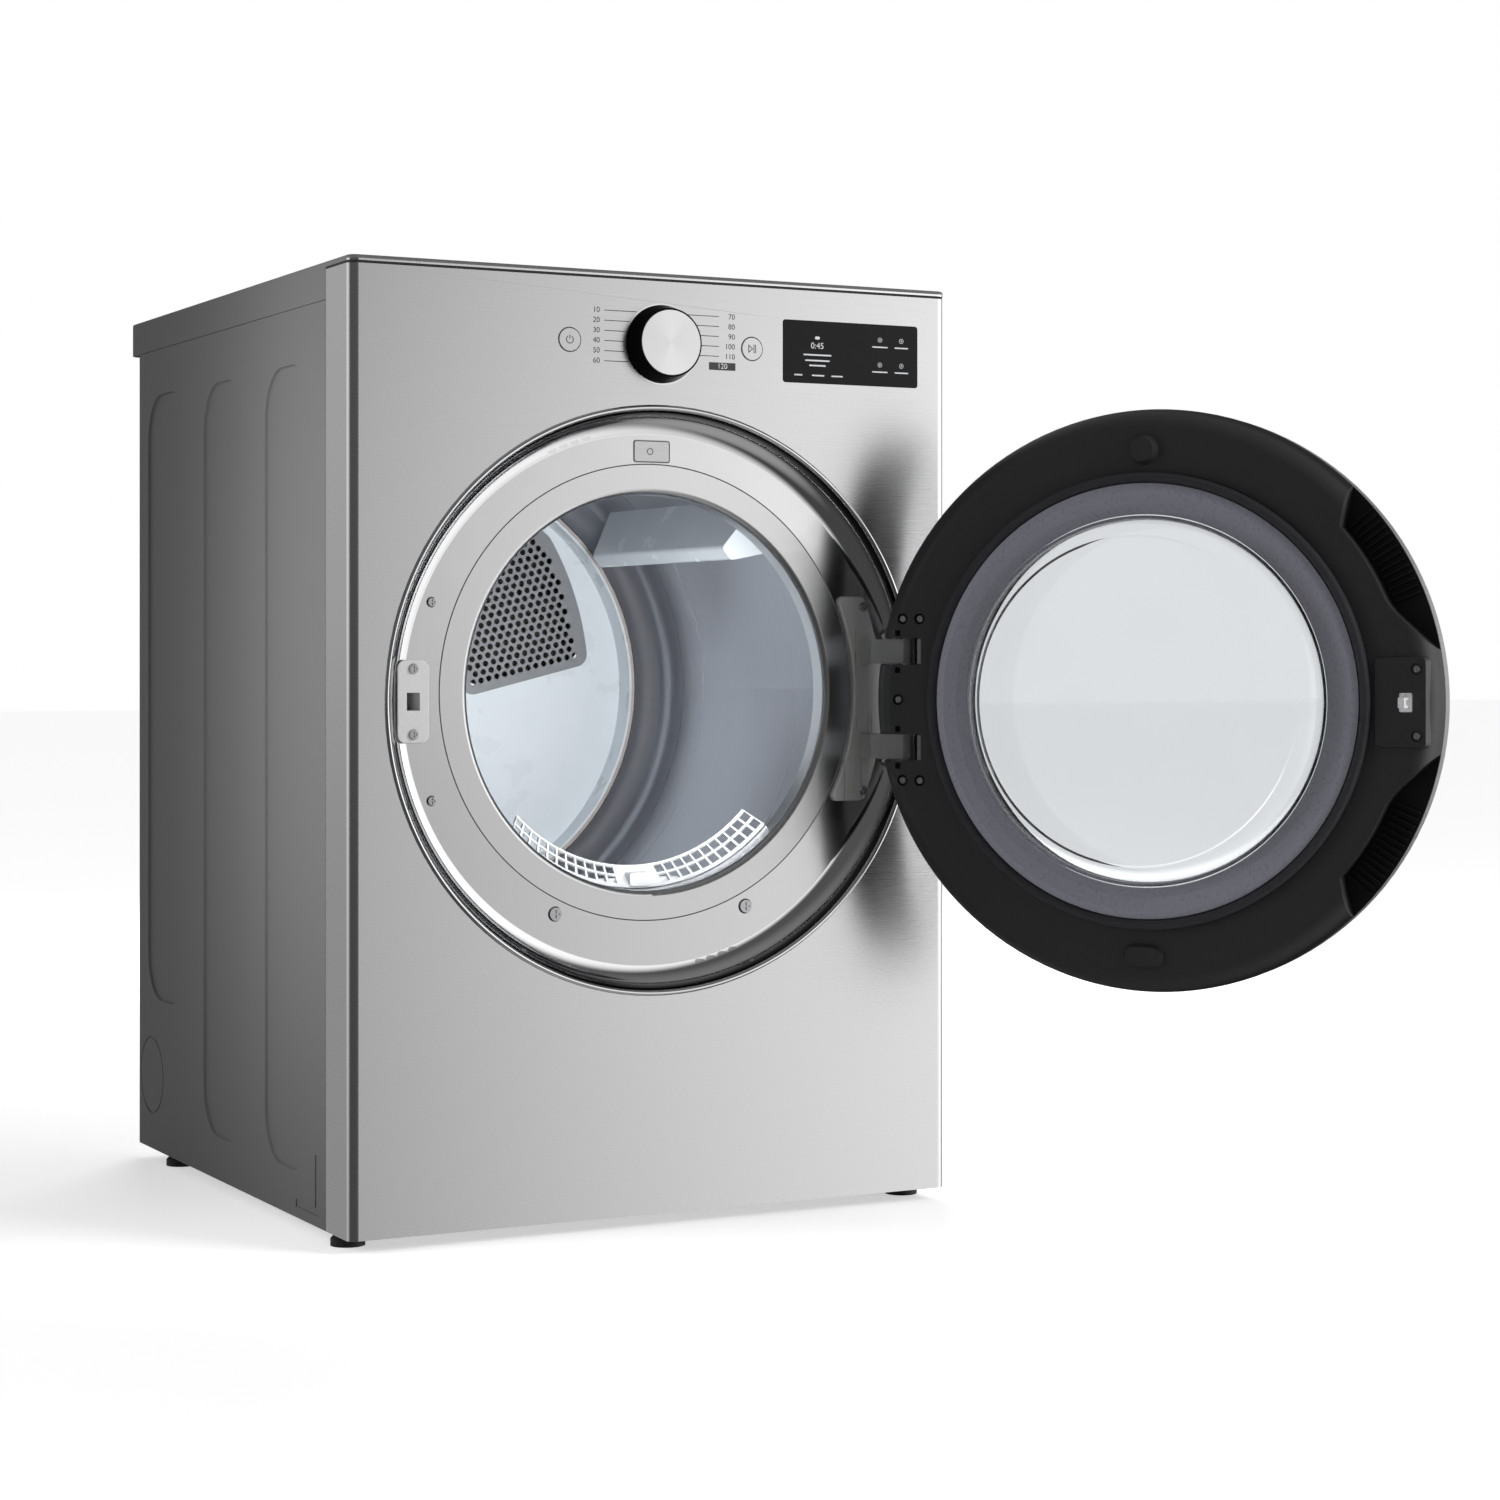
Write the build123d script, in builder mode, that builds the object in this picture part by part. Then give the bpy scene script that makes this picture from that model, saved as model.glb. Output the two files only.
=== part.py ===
from build123d import *
import math
import os

# Front-loading clothes dryer with a round door, in millimetres.
# +Z is up, +X is right seen from the front, and the front faces -Y.
# The origin is on the floor, in the middle of the four feet. The door stands open.

# Cabinet
cabinet_width = 686.0
front_height = 965.0
cabinet_depth = 710.0
foot_clear = 14.0
sheet = 2.0
corner_radius = 10.0
wrap_depth = 66.0
rear_inset = 10.0
panel_gap = 0.6
fit_gap = 0.3
run_gap = 0.05

# Top cover
cover_plate = 8.3
cover_gap = 2.5
cover_recess = 1.2
cover_skirt = 30.0
cover_overhang = 36.0
cover_wall = 2.0
cover_lip = 0.8
cover_edge = 2.5
cover_corner = 10.0

# Side panel pressings: middle depth, width, bottom and top above the panel edge
flute_depth = 2.5
flute_corner = 52.0
rear_flute = (604.0, 142.0, 176.0, 882.0)
middle_flute = (395.0, 138.0, 47.0, 879.0)
front_flute = (185.0, 137.0, 47.0, 878.0)
knockout_radius = 45.0
knockout_depth = 660.0
knockout_height = 86.0
knockout_line = 2.0
press_line = 1.0
rear_rib_length = 520.0
rear_rib_width = 34.0
rear_rib_pitch = 90.0
rear_rib_rise = 3.0

# Feet
foot_radius = 17.5
foot_pad = 9.0
foot_nut_radius = 9.0
foot_stud_radius = 5.0
foot_stud_length = 40.0
foot_pitch_x = 644.0
foot_pitch_y = 552.0
foot_front_inset = 60.0
pan_thickness = 3.0
pan_rim = 28.0

# Door well in the front panel
well_radius = 300.5
well_height = 531.3
well_depth = 25.0
well_curve = 24.0
well_floor_inner = 222.0
bead_width = 5.0
bead_rise = 1.4

# Drum opening, which sits a little above the middle of the well
opening_rise = 8.0
opening_radius = 206.5
ring_radius = 237.5
ring_lip = 25.0
ring_round = 6.0

# Drum and the walls that close its ends
drum_radius = 300.0
drum_wall = 1.5
drum_front = 84.0
drum_rear = 632.0
neck_length = 22.0
front_neck_radius = 250.0
rear_neck_radius = 262.0
front_flare = 24.0
rear_flare = 34.0
front_wall_depth = 30.0
rear_wall_depth = 640.0
wall_top_gap = 45.0
wall_bottom = 118.0
collar_wall = 3.0
felt_thickness = 5.0

# Lifters
lifter_angle = 39.0
lifter_count = 3
lifter_height = 57.0
lifter_base = 72.0
lifter_tip = 18.0
lifter_front = 176.0
lifter_rear = 574.0
lifter_slope = 45.0
lifter_end_slope = 6.0

# Air grille in the rear wall, a fan of round holes with a flat outer arc
grille_radius = 350.0
grille_shift = 140.0
grille_drop = 23.0
grille_limit = 243.0
grille_inner = 46.0
grille_start = 13.8
grille_end = 104.0
grille_thickness = 2.4
grille_margin = 11.0
grille_corner = 16.0
hole_pitch = 10.8
hole_radius = 3.6

# Heater behind the grille
heater_height = 50.0
heater_wall = 2.0
heater_bar = 8.0
heater_bars = 5

# Rollers that carry the rear of the drum
roller_radius = 35.0
roller_width = 22.0
roller_spread = 32.0
roller_depth = 545.0
axle_radius = 6.0

# Motor, belt, idler and blower
motor_x = 150.0
motor_z = 135.0
motor_radius = 62.0
motor_front = 250.0
motor_length = 150.0
shaft_radius = 7.0
pulley_radius = 12.0
belt_width = 14.0
belt_thickness = 3.0
belt_depth = 435.0
idler_radius = 22.0
idler_pin_radius = 5.0
idler_pivot_x = 272.0
idler_pivot_z = 150.0
idler_bar = 4.0
blower_radius = 74.0
blower_depth = 92.0
blower_width = 66.0
blower_vanes = 24
blower_case_left = -62.0
blower_case_right = 238.0
blower_case_bottom = 34.0
blower_case_top = 226.0
case_wall = 2.0

# Air path out of the back
exhaust_radius = 50.8
exhaust_wall = 1.0
exhaust_x = 0.0
exhaust_z = 100.0
exhaust_reach = 32.0
exhaust_flange = 64.0

# Lint filter and its duct
filter_depth = 52.0
filter_thickness = 22.0
filter_band = 20.0
filter_half_angle = 46.0
filter_panel_width = 196.0
filter_panel_drop = 190.0
filter_bar = 2.6
filter_cells = 11
filter_tab = 26.0
filter_middle = 7.0
duct_half_width = 108.0
duct_bottom = 122.0
duct_wall = 2.0

# Controls
control_z_drop = 65.0
knob_base_radius = 40.5
knob_face_radius = 34.0
knob_reach = 21.5
knob_shaft_radius = 3.0
button_radius = 12.0
button_offset = 105.0
button_travel = 1.0
button_flange = 1.3
display_x = 224.6
display_width = 165.0
display_height = 66.0
display_corner = 3.0
housing_depth = 26.0
housing_half_height = 45.0
housing_left = -130.0
housing_right = 318.0
housing_wall = 2.5

# Latch, lamp and screws in the well
catch_x = -267.0
catch_width = 34.0
catch_height = 84.0
catch_hole_width = 14.0
catch_hole_height = 18.0
catch_corner = 9.0
catch_body = 36.0
plate_thickness = 4.0
lamp_height = 259.0
lamp_width = 42.0
lamp_tall = 23.0
screw_radius = 5.5
wide_screw_radius = 8.0
screw_head = 2.3
screw_slope = 30.0
screw_slot = 1.3

# Hinge: pin place and the open angle of the door
hinge_x = 275.1
hinge_reach = 31.6
door_open = 128.6
pin_radius = 4.0
knuckle_radius = 9.0
arm_height = 26.0
arm_offset = 50.7
plate_half_height = 110.0

# Door
door_radius = 299.5
door_split = 20.0
door_front = 57.0
door_wall = 2.5
frame_face = 14.0
frame_face_radius = 277.0
frame_inner = 233.0
frame_ledge = 200.0
gasket_width = 10.0
bowl_radius = 189.0
bowl_floor_radius = 168.0
bowl_depth = 31.0
bowl_glass = 4.0
window_radius = 216.0
window_thickness = 5.0
slot_inner = 242.0
slot_clear = 1.0
pocket_radius = 266.0
pocket_start = 10.0
pocket_end = 46.0
pocket_lead = 11.0
pocket_sweep = 60.0
pocket_round = 22.0
pocket_wall = 4.0
pocket_ribs = 14
bumper_radius = 13.0
bumper_height = 8.5
bumper_top = 256.0
bumper_bottom = 260.0
pad_outer = 290.0
pad_half_height = 47.0
pad_rise = 3.0
pad_root = 8.0
striker_length = 22.0
door_recess = 5.8
recess_depth = 1.8
door_screw_radius = 3.8
door_screw_head = 1.6
slot_plate = 5.0

# Electrics at the back and under the cover
terminal_x = -250.0
terminal_z = 205.0
terminal_width = 120.0
terminal_tall = 110.0
terminal_reach = 28.0
gland_radius = 11.1
brace_depth = 560.0
brace_width = 40.0
brace_height = 40.0
box_width = 190.0
box_length = 140.0
box_height = 45.0

# Levels and places that follow from the sizes above
front_y = -(foot_front_inset + foot_pitch_y / 2)
panel_top = foot_clear + front_height
cover_top = panel_top + cover_plate
skirt_bottom = panel_top - cover_skirt
inner_half = cabinet_width / 2 - sheet
rear_face = cabinet_depth - rear_inset
rear_inside = rear_face - sheet
well_z = foot_clear + well_height
drum_z = well_z + opening_rise
control_z = panel_top - control_z_drop
floor_radius = well_radius - well_curve
pan_bottom = foot_clear + sheet
pan_top = pan_bottom + pan_thickness
drum_outer = drum_radius + drum_wall


def facing(depth):
    """Plane that looks to the front at a depth behind the front panel; local x, y are X, Z."""
    return Plane(origin=(0, front_y + depth, 0), x_dir=(1, 0, 0), z_dir=(0, -1, 0))


def level(height):
    """Horizontal plane at a height above the floor."""
    return Plane.XY.offset(height)


def rectangle_on(plane, x, y, width, height, radius=0.0):
    """Rectangle about a point of a plane, with rounded corners if a radius is given."""
    with BuildSketch(plane, mode=Mode.PRIVATE) as shape:
        with Locations((x, y)):
            if radius > 0:
                RectangleRounded(width, height, radius)
            else:
                Rectangle(width, height)
    return shape.sketch


def span_on(plane, low_x, high_x, low_y, high_y, radius=0.0):
    """Rectangle between two corners of a plane."""
    middle_x = (low_x + high_x) / 2
    middle_y = (low_y + high_y) / 2
    return rectangle_on(plane, middle_x, middle_y, high_x - low_x, high_y - low_y, radius)


def disc_on(plane, x, y, radius, bore=0.0):
    """Disc, or ring if a bore is given, about a point of a plane."""
    with BuildSketch(plane, mode=Mode.PRIVATE) as shape:
        with Locations((x, y)):
            Circle(radius)
            if bore > 0:
                Circle(bore, mode=Mode.SUBTRACT)
    return shape.sketch


def polygon_on(plane, *points):
    """Closed outline of straight sides on a plane."""
    with BuildSketch(plane, mode=Mode.PRIVATE) as shape:
        with BuildLine():
            Polyline(*points, close=True)
        make_face()
    return shape.sketch


def write(piece, name):
    """Name a finished piece and write its file."""
    piece.label = name
    export_step(piece, f"parts/{name}.step")


os.makedirs("parts", exist_ok=True)

# Section planes: local x is the radius, local y points to the front
well_section = Plane(origin=(0, front_y, well_z), x_dir=(1, 0, 0), z_dir=(0, 0, -1))
well_axis = Axis((0, front_y, well_z), (0, -1, 0))
drum_section = Plane(origin=(0, front_y, drum_z), x_dir=(1, 0, 0), z_dir=(0, 0, -1))
drum_axis = Axis((0, front_y, drum_z), (0, -1, 0))


# Front panel: a pressed tray with the round door hole and the control cut-outs
with BuildPart() as front_panel:
    extrude(span_on(facing(wrap_depth), -cabinet_width / 2, cabinet_width / 2, foot_clear, panel_top),
            amount=wrap_depth)
    fillet(front_panel.edges().filter_by(Axis.Z).group_by(Axis.Y)[0], radius=corner_radius)
    offset(amount=-sheet, openings=front_panel.faces().sort_by(Axis.Y)[-1])
    extrude(disc_on(facing(wrap_depth), 0, well_z, well_radius + bead_width + fit_gap),
            amount=2 * wrap_depth, mode=Mode.SUBTRACT)
    extrude(rectangle_on(facing(wrap_depth), display_x, control_z, display_width + 2 * fit_gap,
                         display_height + 2 * fit_gap, display_corner + fit_gap),
            amount=wrap_depth, mode=Mode.SUBTRACT)
    for button_x in (-button_offset, button_offset):
        extrude(disc_on(facing(wrap_depth), button_x, control_z, button_radius + fit_gap),
                amount=wrap_depth, mode=Mode.SUBTRACT)
    extrude(disc_on(facing(wrap_depth), 0, control_z, knob_shaft_radius + 1.0), amount=wrap_depth,
            mode=Mode.SUBTRACT)
    for foot_x in (-foot_pitch_x / 2, foot_pitch_x / 2):
        extrude(span_on(level(foot_clear), foot_x - foot_stud_radius - 1.0, foot_x + foot_stud_radius + 1.0,
                        front_y + foot_front_inset - foot_stud_radius - 1.0, front_y + 2 * wrap_depth),
                amount=sheet, mode=Mode.SUBTRACT)
write(front_panel.part, "front_panel")

# Door well: a dished ring with a bead that sits in the hole of the front panel
well_lip = well_depth - well_curve
with BuildPart() as door_well:
    with BuildSketch(well_section):
        with Locations((floor_radius, -well_lip)):
            Circle(well_curve + sheet)
            Circle(well_curve, mode=Mode.SUBTRACT)
            Rectangle(well_curve + sheet, well_curve + sheet, align=(Align.MIN, Align.MAX),
                      mode=Mode.INTERSECT)
        with Locations((well_floor_inner, -well_depth)):
            Rectangle(floor_radius - well_floor_inner, sheet, align=(Align.MIN, Align.MAX))
        with BuildLine():
            bead = ThreePointArc((well_radius, -well_lip),
                                 (well_radius + bead_width / 2, bead_rise),
                                 (well_radius + bead_width, 0))
            Polyline(bead @ 1, (well_radius + bead_width, -sheet), (well_radius, -sheet), bead @ 0)
        make_face()
    revolve(axis=well_axis)
    extrude(disc_on(facing(wrap_depth), 0, drum_z, ring_radius + fit_gap), amount=wrap_depth,
            mode=Mode.SUBTRACT)
    extrude(rectangle_on(facing(wrap_depth), catch_x, well_z, catch_width - 9.0, catch_height / 2),
            amount=wrap_depth, mode=Mode.SUBTRACT)
    extrude(rectangle_on(facing(wrap_depth), 0, well_z + lamp_height, lamp_width + 2 * fit_gap,
                         lamp_tall + 2 * fit_gap, 3.0), amount=wrap_depth, mode=Mode.SUBTRACT)
write(door_well.part, "door_well")

# Ring around the drum opening, flush with the floor of the well and rolled into the drum
with BuildPart() as door_opening_ring:
    with BuildSketch(drum_section):
        with BuildLine():
            roll = CenterArc((opening_radius + ring_round, -well_depth - ring_round), ring_round, 90, 90)
            Polyline(roll @ 1, (opening_radius, -well_depth - ring_lip),
                     (opening_radius + sheet, -well_depth - ring_lip),
                     (opening_radius + sheet, -well_depth - ring_round),
                     (opening_radius + ring_round, -well_depth - sheet),
                     (ring_radius, -well_depth - sheet), (ring_radius, -well_depth), roll @ 0)
        make_face()
    revolve(axis=drum_axis)
write(door_opening_ring.part, "door_opening_ring")

# Side panels with three pressed flutes, a knock-out line and a corner mark
left_side = Plane(origin=(-cabinet_width / 2, front_y, foot_clear), x_dir=(0, -1, 0), z_dir=(-1, 0, 0))
side_top = skirt_bottom - panel_gap - foot_clear
with BuildPart() as side_panel_left:
    extrude(span_on(left_side, -cabinet_depth, -wrap_depth - panel_gap, 0, side_top), amount=-sheet)
    for middle, width, bottom, top in (rear_flute, middle_flute, front_flute):
        centre = (bottom + top) / 2
        extrude(rectangle_on(left_side.offset(-sheet), -middle, centre, width + 2 * sheet,
                             top - bottom + 2 * sheet, flute_corner), amount=-flute_depth, taper=30)
        extrude(rectangle_on(left_side, -middle, centre, width, top - bottom, flute_corner),
                amount=-flute_depth, taper=30, mode=Mode.SUBTRACT)
    extrude(disc_on(left_side, -knockout_depth, knockout_height, knockout_radius,
                    knockout_radius - knockout_line), amount=-press_line, mode=Mode.SUBTRACT)
    mark_front = wrap_depth + 20.0
    extrude(span_on(left_side, -mark_front - 12.0, -mark_front, 14.0, 72.0), amount=-press_line,
            mode=Mode.SUBTRACT)
    extrude(span_on(left_side, -mark_front - 70.0, -mark_front, 11.0, 19.0), amount=-press_line,
            mode=Mode.SUBTRACT)
write(side_panel_left.part, "side_panel_left")

with BuildPart() as side_panel_right:
    mirror(side_panel_left.part, about=Plane.YZ)
write(side_panel_right.part, "side_panel_right")

# Rear panel with the exhaust hole, the terminal window, cooling slots and three stiffening ribs
with BuildPart() as rear_panel:
    extrude(span_on(facing(rear_face), -inner_half + fit_gap, inner_half - fit_gap, foot_clear,
                    panel_top - fit_gap), amount=sheet)
    extrude(disc_on(facing(rear_face), exhaust_x, exhaust_z, exhaust_radius + fit_gap), amount=sheet,
            mode=Mode.SUBTRACT)
    extrude(rectangle_on(facing(rear_face), terminal_x, terminal_z, terminal_width / 2,
                         terminal_tall / 2), amount=sheet, mode=Mode.SUBTRACT)
    with BuildSketch(facing(rear_face)):
        with Locations((inner_half / 2, drum_z)):
            with GridLocations(110.0, 26.0, 2, 9):
                SlotOverall(80.0, 7.0)
    extrude(amount=sheet, mode=Mode.SUBTRACT)
    with BuildSketch(facing(rear_face)):
        with Locations((-inner_half / 2, drum_z)):
            with GridLocations(rear_rib_pitch, 1.0, 3, 1):
                SlotOverall(rear_rib_length, rear_rib_width, rotation=90)
    extrude(amount=-rear_rib_rise, taper=30)
write(rear_panel.part, "rear_panel")

# Top cover: a plate with a skirt along both sides and the back
cover_rear = cabinet_depth + cover_overhang
skirt_front = wrap_depth + panel_gap
cover_middle = front_y + (cover_rear - cover_lip) / 2
with BuildPart() as top_cover:
    extrude(rectangle_on(level(panel_top + cover_gap), 0, cover_middle, cabinet_width,
                         cover_rear + cover_lip, cover_corner), amount=cover_plate - cover_gap)
    fillet(top_cover.faces().sort_by(Axis.Z)[-1].edges(), radius=cover_edge)
    extrude(rectangle_on(level(panel_top), 0, cover_middle, cabinet_width - 2 * cover_recess,
                         cover_rear + cover_lip - 2 * cover_recess, cover_corner), amount=cover_gap)
    with BuildSketch(level(skirt_bottom)):
        with Locations((0, cover_middle)):
            RectangleRounded(cabinet_width, cover_rear + cover_lip, cover_corner)
        with Locations((0, front_y + cover_rear - cover_wall)):
            Rectangle(cabinet_width - 2 * cover_wall, 2 * cover_rear, align=(Align.CENTER, Align.MAX),
                      mode=Mode.SUBTRACT)
        with Locations((0, front_y + skirt_front)):
            Rectangle(2 * cabinet_width, cover_rear, align=(Align.CENTER, Align.MAX), mode=Mode.SUBTRACT)
    extrude(amount=cover_skirt + cover_gap)
    extrude(rectangle_on(level(panel_top), 0, cover_middle, cabinet_width - 2 * wrap_depth / 3,
                         cover_rear - 2 * wrap_depth / 3), amount=cover_plate - cover_wall,
            mode=Mode.SUBTRACT)
write(top_cover.part, "top_cover")

# Base pan with a raised rim, standing on the lower flange of the front panel
pan_front = corner_radius + fit_gap
pan_rear = rear_inside - fit_gap
pan_half = inner_half - fit_gap
foot_row = (foot_front_inset, foot_front_inset + foot_pitch_y)
with BuildPart() as base_pan:
    with BuildSketch(level(pan_bottom)):
        with Locations((0, front_y + (pan_front + pan_rear) / 2)):
            Rectangle(2 * pan_half, pan_rear - pan_front)
    extrude(amount=pan_thickness + pan_rim)
    with BuildSketch(level(pan_top)):
        with Locations((0, front_y + (pan_front + pan_rear) / 2)):
            Rectangle(2 * pan_half - 2 * pan_thickness, pan_rear - pan_front - 2 * pan_thickness)
    extrude(amount=pan_rim, mode=Mode.SUBTRACT)
    with BuildSketch(level(pan_bottom)):
        with GridLocations(foot_pitch_x, foot_pitch_y, 2, 2):
            Circle(foot_stud_radius + run_gap)
    extrude(amount=pan_thickness, mode=Mode.SUBTRACT)
write(base_pan.part, "base_pan")

# Levelling feet, screwed right in
for row, foot_y in (("front", -foot_pitch_y / 2), ("rear", foot_pitch_y / 2)):
    for side, foot_x in (("left", -foot_pitch_x / 2), ("right", foot_pitch_x / 2)):
        with BuildPart() as foot:
            with BuildSketch(Plane.XY):
                with Locations((foot_x, foot_y)):
                    Circle(foot_radius)
            extrude(amount=foot_pad)
            chamfer(foot.faces().sort_by(Axis.Z)[-1].edges(), length=2.0)
            with BuildSketch(level(foot_pad)):
                with Locations((foot_x, foot_y)):
                    RegularPolygon(foot_nut_radius, 6)
            extrude(amount=foot_clear - foot_pad - fit_gap)
            with BuildSketch(level(foot_pad)):
                with Locations((foot_x, foot_y)):
                    Circle(foot_stud_radius)
            extrude(amount=foot_stud_length)
        write(foot.part, f"foot_{row}_{side}")

# Front wall of the drum space, with the collar that the drum turns on
collar_outer = front_neck_radius - fit_gap - felt_thickness - fit_gap
collar_rear = drum_front + neck_length - 2.0
with BuildPart() as front_bulkhead:
    extrude(span_on(facing(front_wall_depth + sheet), -pan_half, pan_half, wall_bottom,
                    panel_top - wall_top_gap), amount=sheet)
    extrude(disc_on(facing(front_wall_depth + sheet), 0, drum_z, opening_radius + ring_round + fit_gap),
            amount=sheet, mode=Mode.SUBTRACT)
    extrude(rectangle_on(facing(front_wall_depth + sheet), catch_x, well_z, catch_width - 9.0,
                         catch_height / 2), amount=sheet, mode=Mode.SUBTRACT)
    extrude(disc_on(facing(collar_rear), 0, drum_z, collar_outer, collar_outer - collar_wall),
            amount=collar_rear - front_wall_depth)
    extrude(span_on(facing(filter_depth + filter_thickness + 4.0), -filter_panel_width / 2 - 32.0,
                    filter_panel_width / 2 + 32.0, wall_bottom, drum_z - opening_radius + 20.0),
            amount=filter_thickness + 8.0, mode=Mode.SUBTRACT)
write(front_bulkhead.part, "front_bulkhead")


def grille_outline(plane, inset):
    """Fan outline of the air grille, drawn in by an inset, from a pivot below the drum axis."""
    pivot_z = drum_z - grille_drop
    low = math.radians(grille_start)
    high = math.radians(grille_end)
    middle = (low + high) / 2
    apex = inset / math.sin(middle - low)
    reach = 2 * grille_radius

    def from_apex(radius, angle):
        return (apex * math.cos(middle) + radius * math.cos(angle),
                pivot_z + apex * math.sin(middle) + radius * math.sin(angle))

    with BuildSketch(plane, mode=Mode.PRIVATE) as fan:
        with BuildLine():
            Polyline(from_apex(0, middle), from_apex(reach, low), from_apex(reach, middle),
                     from_apex(reach, high), close=True)
        make_face()
        with Locations((-grille_shift, drum_z)):
            Circle(grille_radius - inset, mode=Mode.INTERSECT)
        with Locations((0, drum_z)):
            Circle(grille_limit - inset, mode=Mode.INTERSECT)
        with Locations((0, pivot_z)):
            Circle(grille_inner + inset, mode=Mode.SUBTRACT)
        fillet(fan.vertices(), radius=grille_corner)
    return fan.sketch


# Rear wall of the drum space, open behind the grille
rear_collar_outer = rear_neck_radius - fit_gap - felt_thickness - fit_gap
rear_collar_front = drum_rear - neck_length
wall_half = pan_half - flute_depth
with BuildPart() as rear_bulkhead:
    extrude(span_on(facing(rear_wall_depth + sheet), -wall_half, wall_half, wall_bottom,
                    panel_top - wall_top_gap), amount=sheet)
    extrude(disc_on(facing(rear_wall_depth + sheet), exhaust_x, exhaust_z, exhaust_radius + fit_gap),
            amount=sheet, mode=Mode.SUBTRACT)
    extrude(grille_outline(facing(rear_wall_depth + sheet), grille_margin), amount=sheet,
            mode=Mode.SUBTRACT)
    extrude(disc_on(facing(rear_wall_depth), 0, drum_z, rear_collar_outer,
                    rear_collar_outer - collar_wall), amount=rear_wall_depth - rear_collar_front)
write(rear_bulkhead.part, "rear_bulkhead")

# Air grille: a fan plate with rows of round holes along its lower edge
row_step = hole_pitch * math.sqrt(3) / 2
rows = int(2 * grille_limit / row_step)
columns = int(2 * grille_limit / hole_pitch)
hole_edge = grille_margin + hole_radius
row_lean = math.radians(grille_start)
hole_places = []
for row in range(rows):
    rise = hole_edge + row * row_step
    for column in range(columns):
        run = (column - columns / 2 + (row % 2) / 2) * hole_pitch
        reach = math.hypot(run, rise)
        hole_x = run * math.cos(row_lean) - rise * math.sin(row_lean)
        hole_z = run * math.sin(row_lean) + rise * math.cos(row_lean) - grille_drop
        side_room = reach * math.sin(math.radians(grille_end) - math.atan2(rise, run) - row_lean)
        arc_room = grille_radius - math.hypot(hole_x + grille_shift, hole_z)
        limit_room = grille_limit - math.hypot(hole_x, hole_z)
        if min(reach - grille_inner, side_room, arc_room, limit_room) > hole_edge:
            hole_places.append((hole_x, drum_z + hole_z))
with BuildPart() as rear_air_grille:
    extrude(grille_outline(facing(rear_wall_depth), 0.0), amount=grille_thickness)
    with BuildSketch(facing(rear_wall_depth)):
        with Locations(*hole_places):
            Circle(hole_radius)
    extrude(amount=grille_thickness, mode=Mode.SUBTRACT)
write(rear_air_grille.part, "rear_air_grille")

# Heater: a sheet box behind the grille with heating bars across it
heater_left = -60.0
heater_right = 240.0
heater_bottom = drum_z - grille_drop
heater_top = drum_z + grille_limit
heater_rear = rear_wall_depth + sheet + heater_height
with BuildPart() as heater_housing:
    extrude(span_on(facing(heater_rear), heater_left, heater_right, heater_bottom, heater_top),
            amount=heater_height)
    extrude(span_on(facing(heater_rear - heater_wall), heater_left + heater_wall,
                    heater_right - heater_wall, heater_bottom + heater_wall, heater_top - heater_wall),
            amount=heater_height, mode=Mode.SUBTRACT)
write(heater_housing.part, "heater_housing")

bar_step = (heater_top - heater_bottom) / (heater_bars + 1)
bar_depth = rear_wall_depth + sheet + heater_height / 2
with BuildPart() as heater_element:
    for bar in range(heater_bars):
        bar_z = heater_bottom + (bar + 1) * bar_step
        extrude(rectangle_on(facing(bar_depth + heater_bar / 2), (heater_left + heater_right) / 2, bar_z,
                             heater_right - heater_left - 2 * heater_wall - 2 * fit_gap, heater_bar),
                amount=heater_bar)
write(heater_element.part, "heater_element")

# Felt seals between the drum necks and the two collars
with BuildPart() as drum_seals:
    extrude(disc_on(facing(collar_rear), 0, drum_z, collar_outer + felt_thickness, collar_outer),
            amount=neck_length - 4.0)
    extrude(disc_on(facing(drum_rear - 2.0), 0, drum_z, rear_collar_outer + felt_thickness,
                    rear_collar_outer), amount=neck_length - 4.0)
write(drum_seals.part, "drum_seals")

# Drum shell: a cylinder drawn in to a neck at each end, with a round shoulder at the rear
with BuildPart() as drum_shell:
    neck_rear = drum_front + neck_length
    body_front = neck_rear + front_flare
    body_rear = drum_rear - neck_length - rear_flare
    neck_front = body_rear + rear_flare
    with BuildSketch(drum_section):
        with BuildLine():
            inner_round = TangentArc((drum_radius, -body_rear), (rear_neck_radius, -neck_front), tangent=(0, -1))
            outer_round = TangentArc((drum_outer, -body_rear),
                                     (rear_neck_radius + drum_wall, -neck_front - drum_wall), tangent=(0, -1))
            Polyline(inner_round @ 1, (rear_neck_radius, -drum_rear),
                     (rear_neck_radius + drum_wall, -drum_rear), outer_round @ 1)
            Polyline(outer_round @ 0, (drum_outer, -body_front), (front_neck_radius + drum_wall, -neck_rear),
                     (front_neck_radius + drum_wall, -drum_front), (front_neck_radius, -drum_front),
                     (front_neck_radius, -neck_rear), (drum_radius, -body_front), inner_round @ 0)
        make_face()
    revolve(axis=drum_axis)
write(drum_shell.part, "drum_shell")

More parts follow.
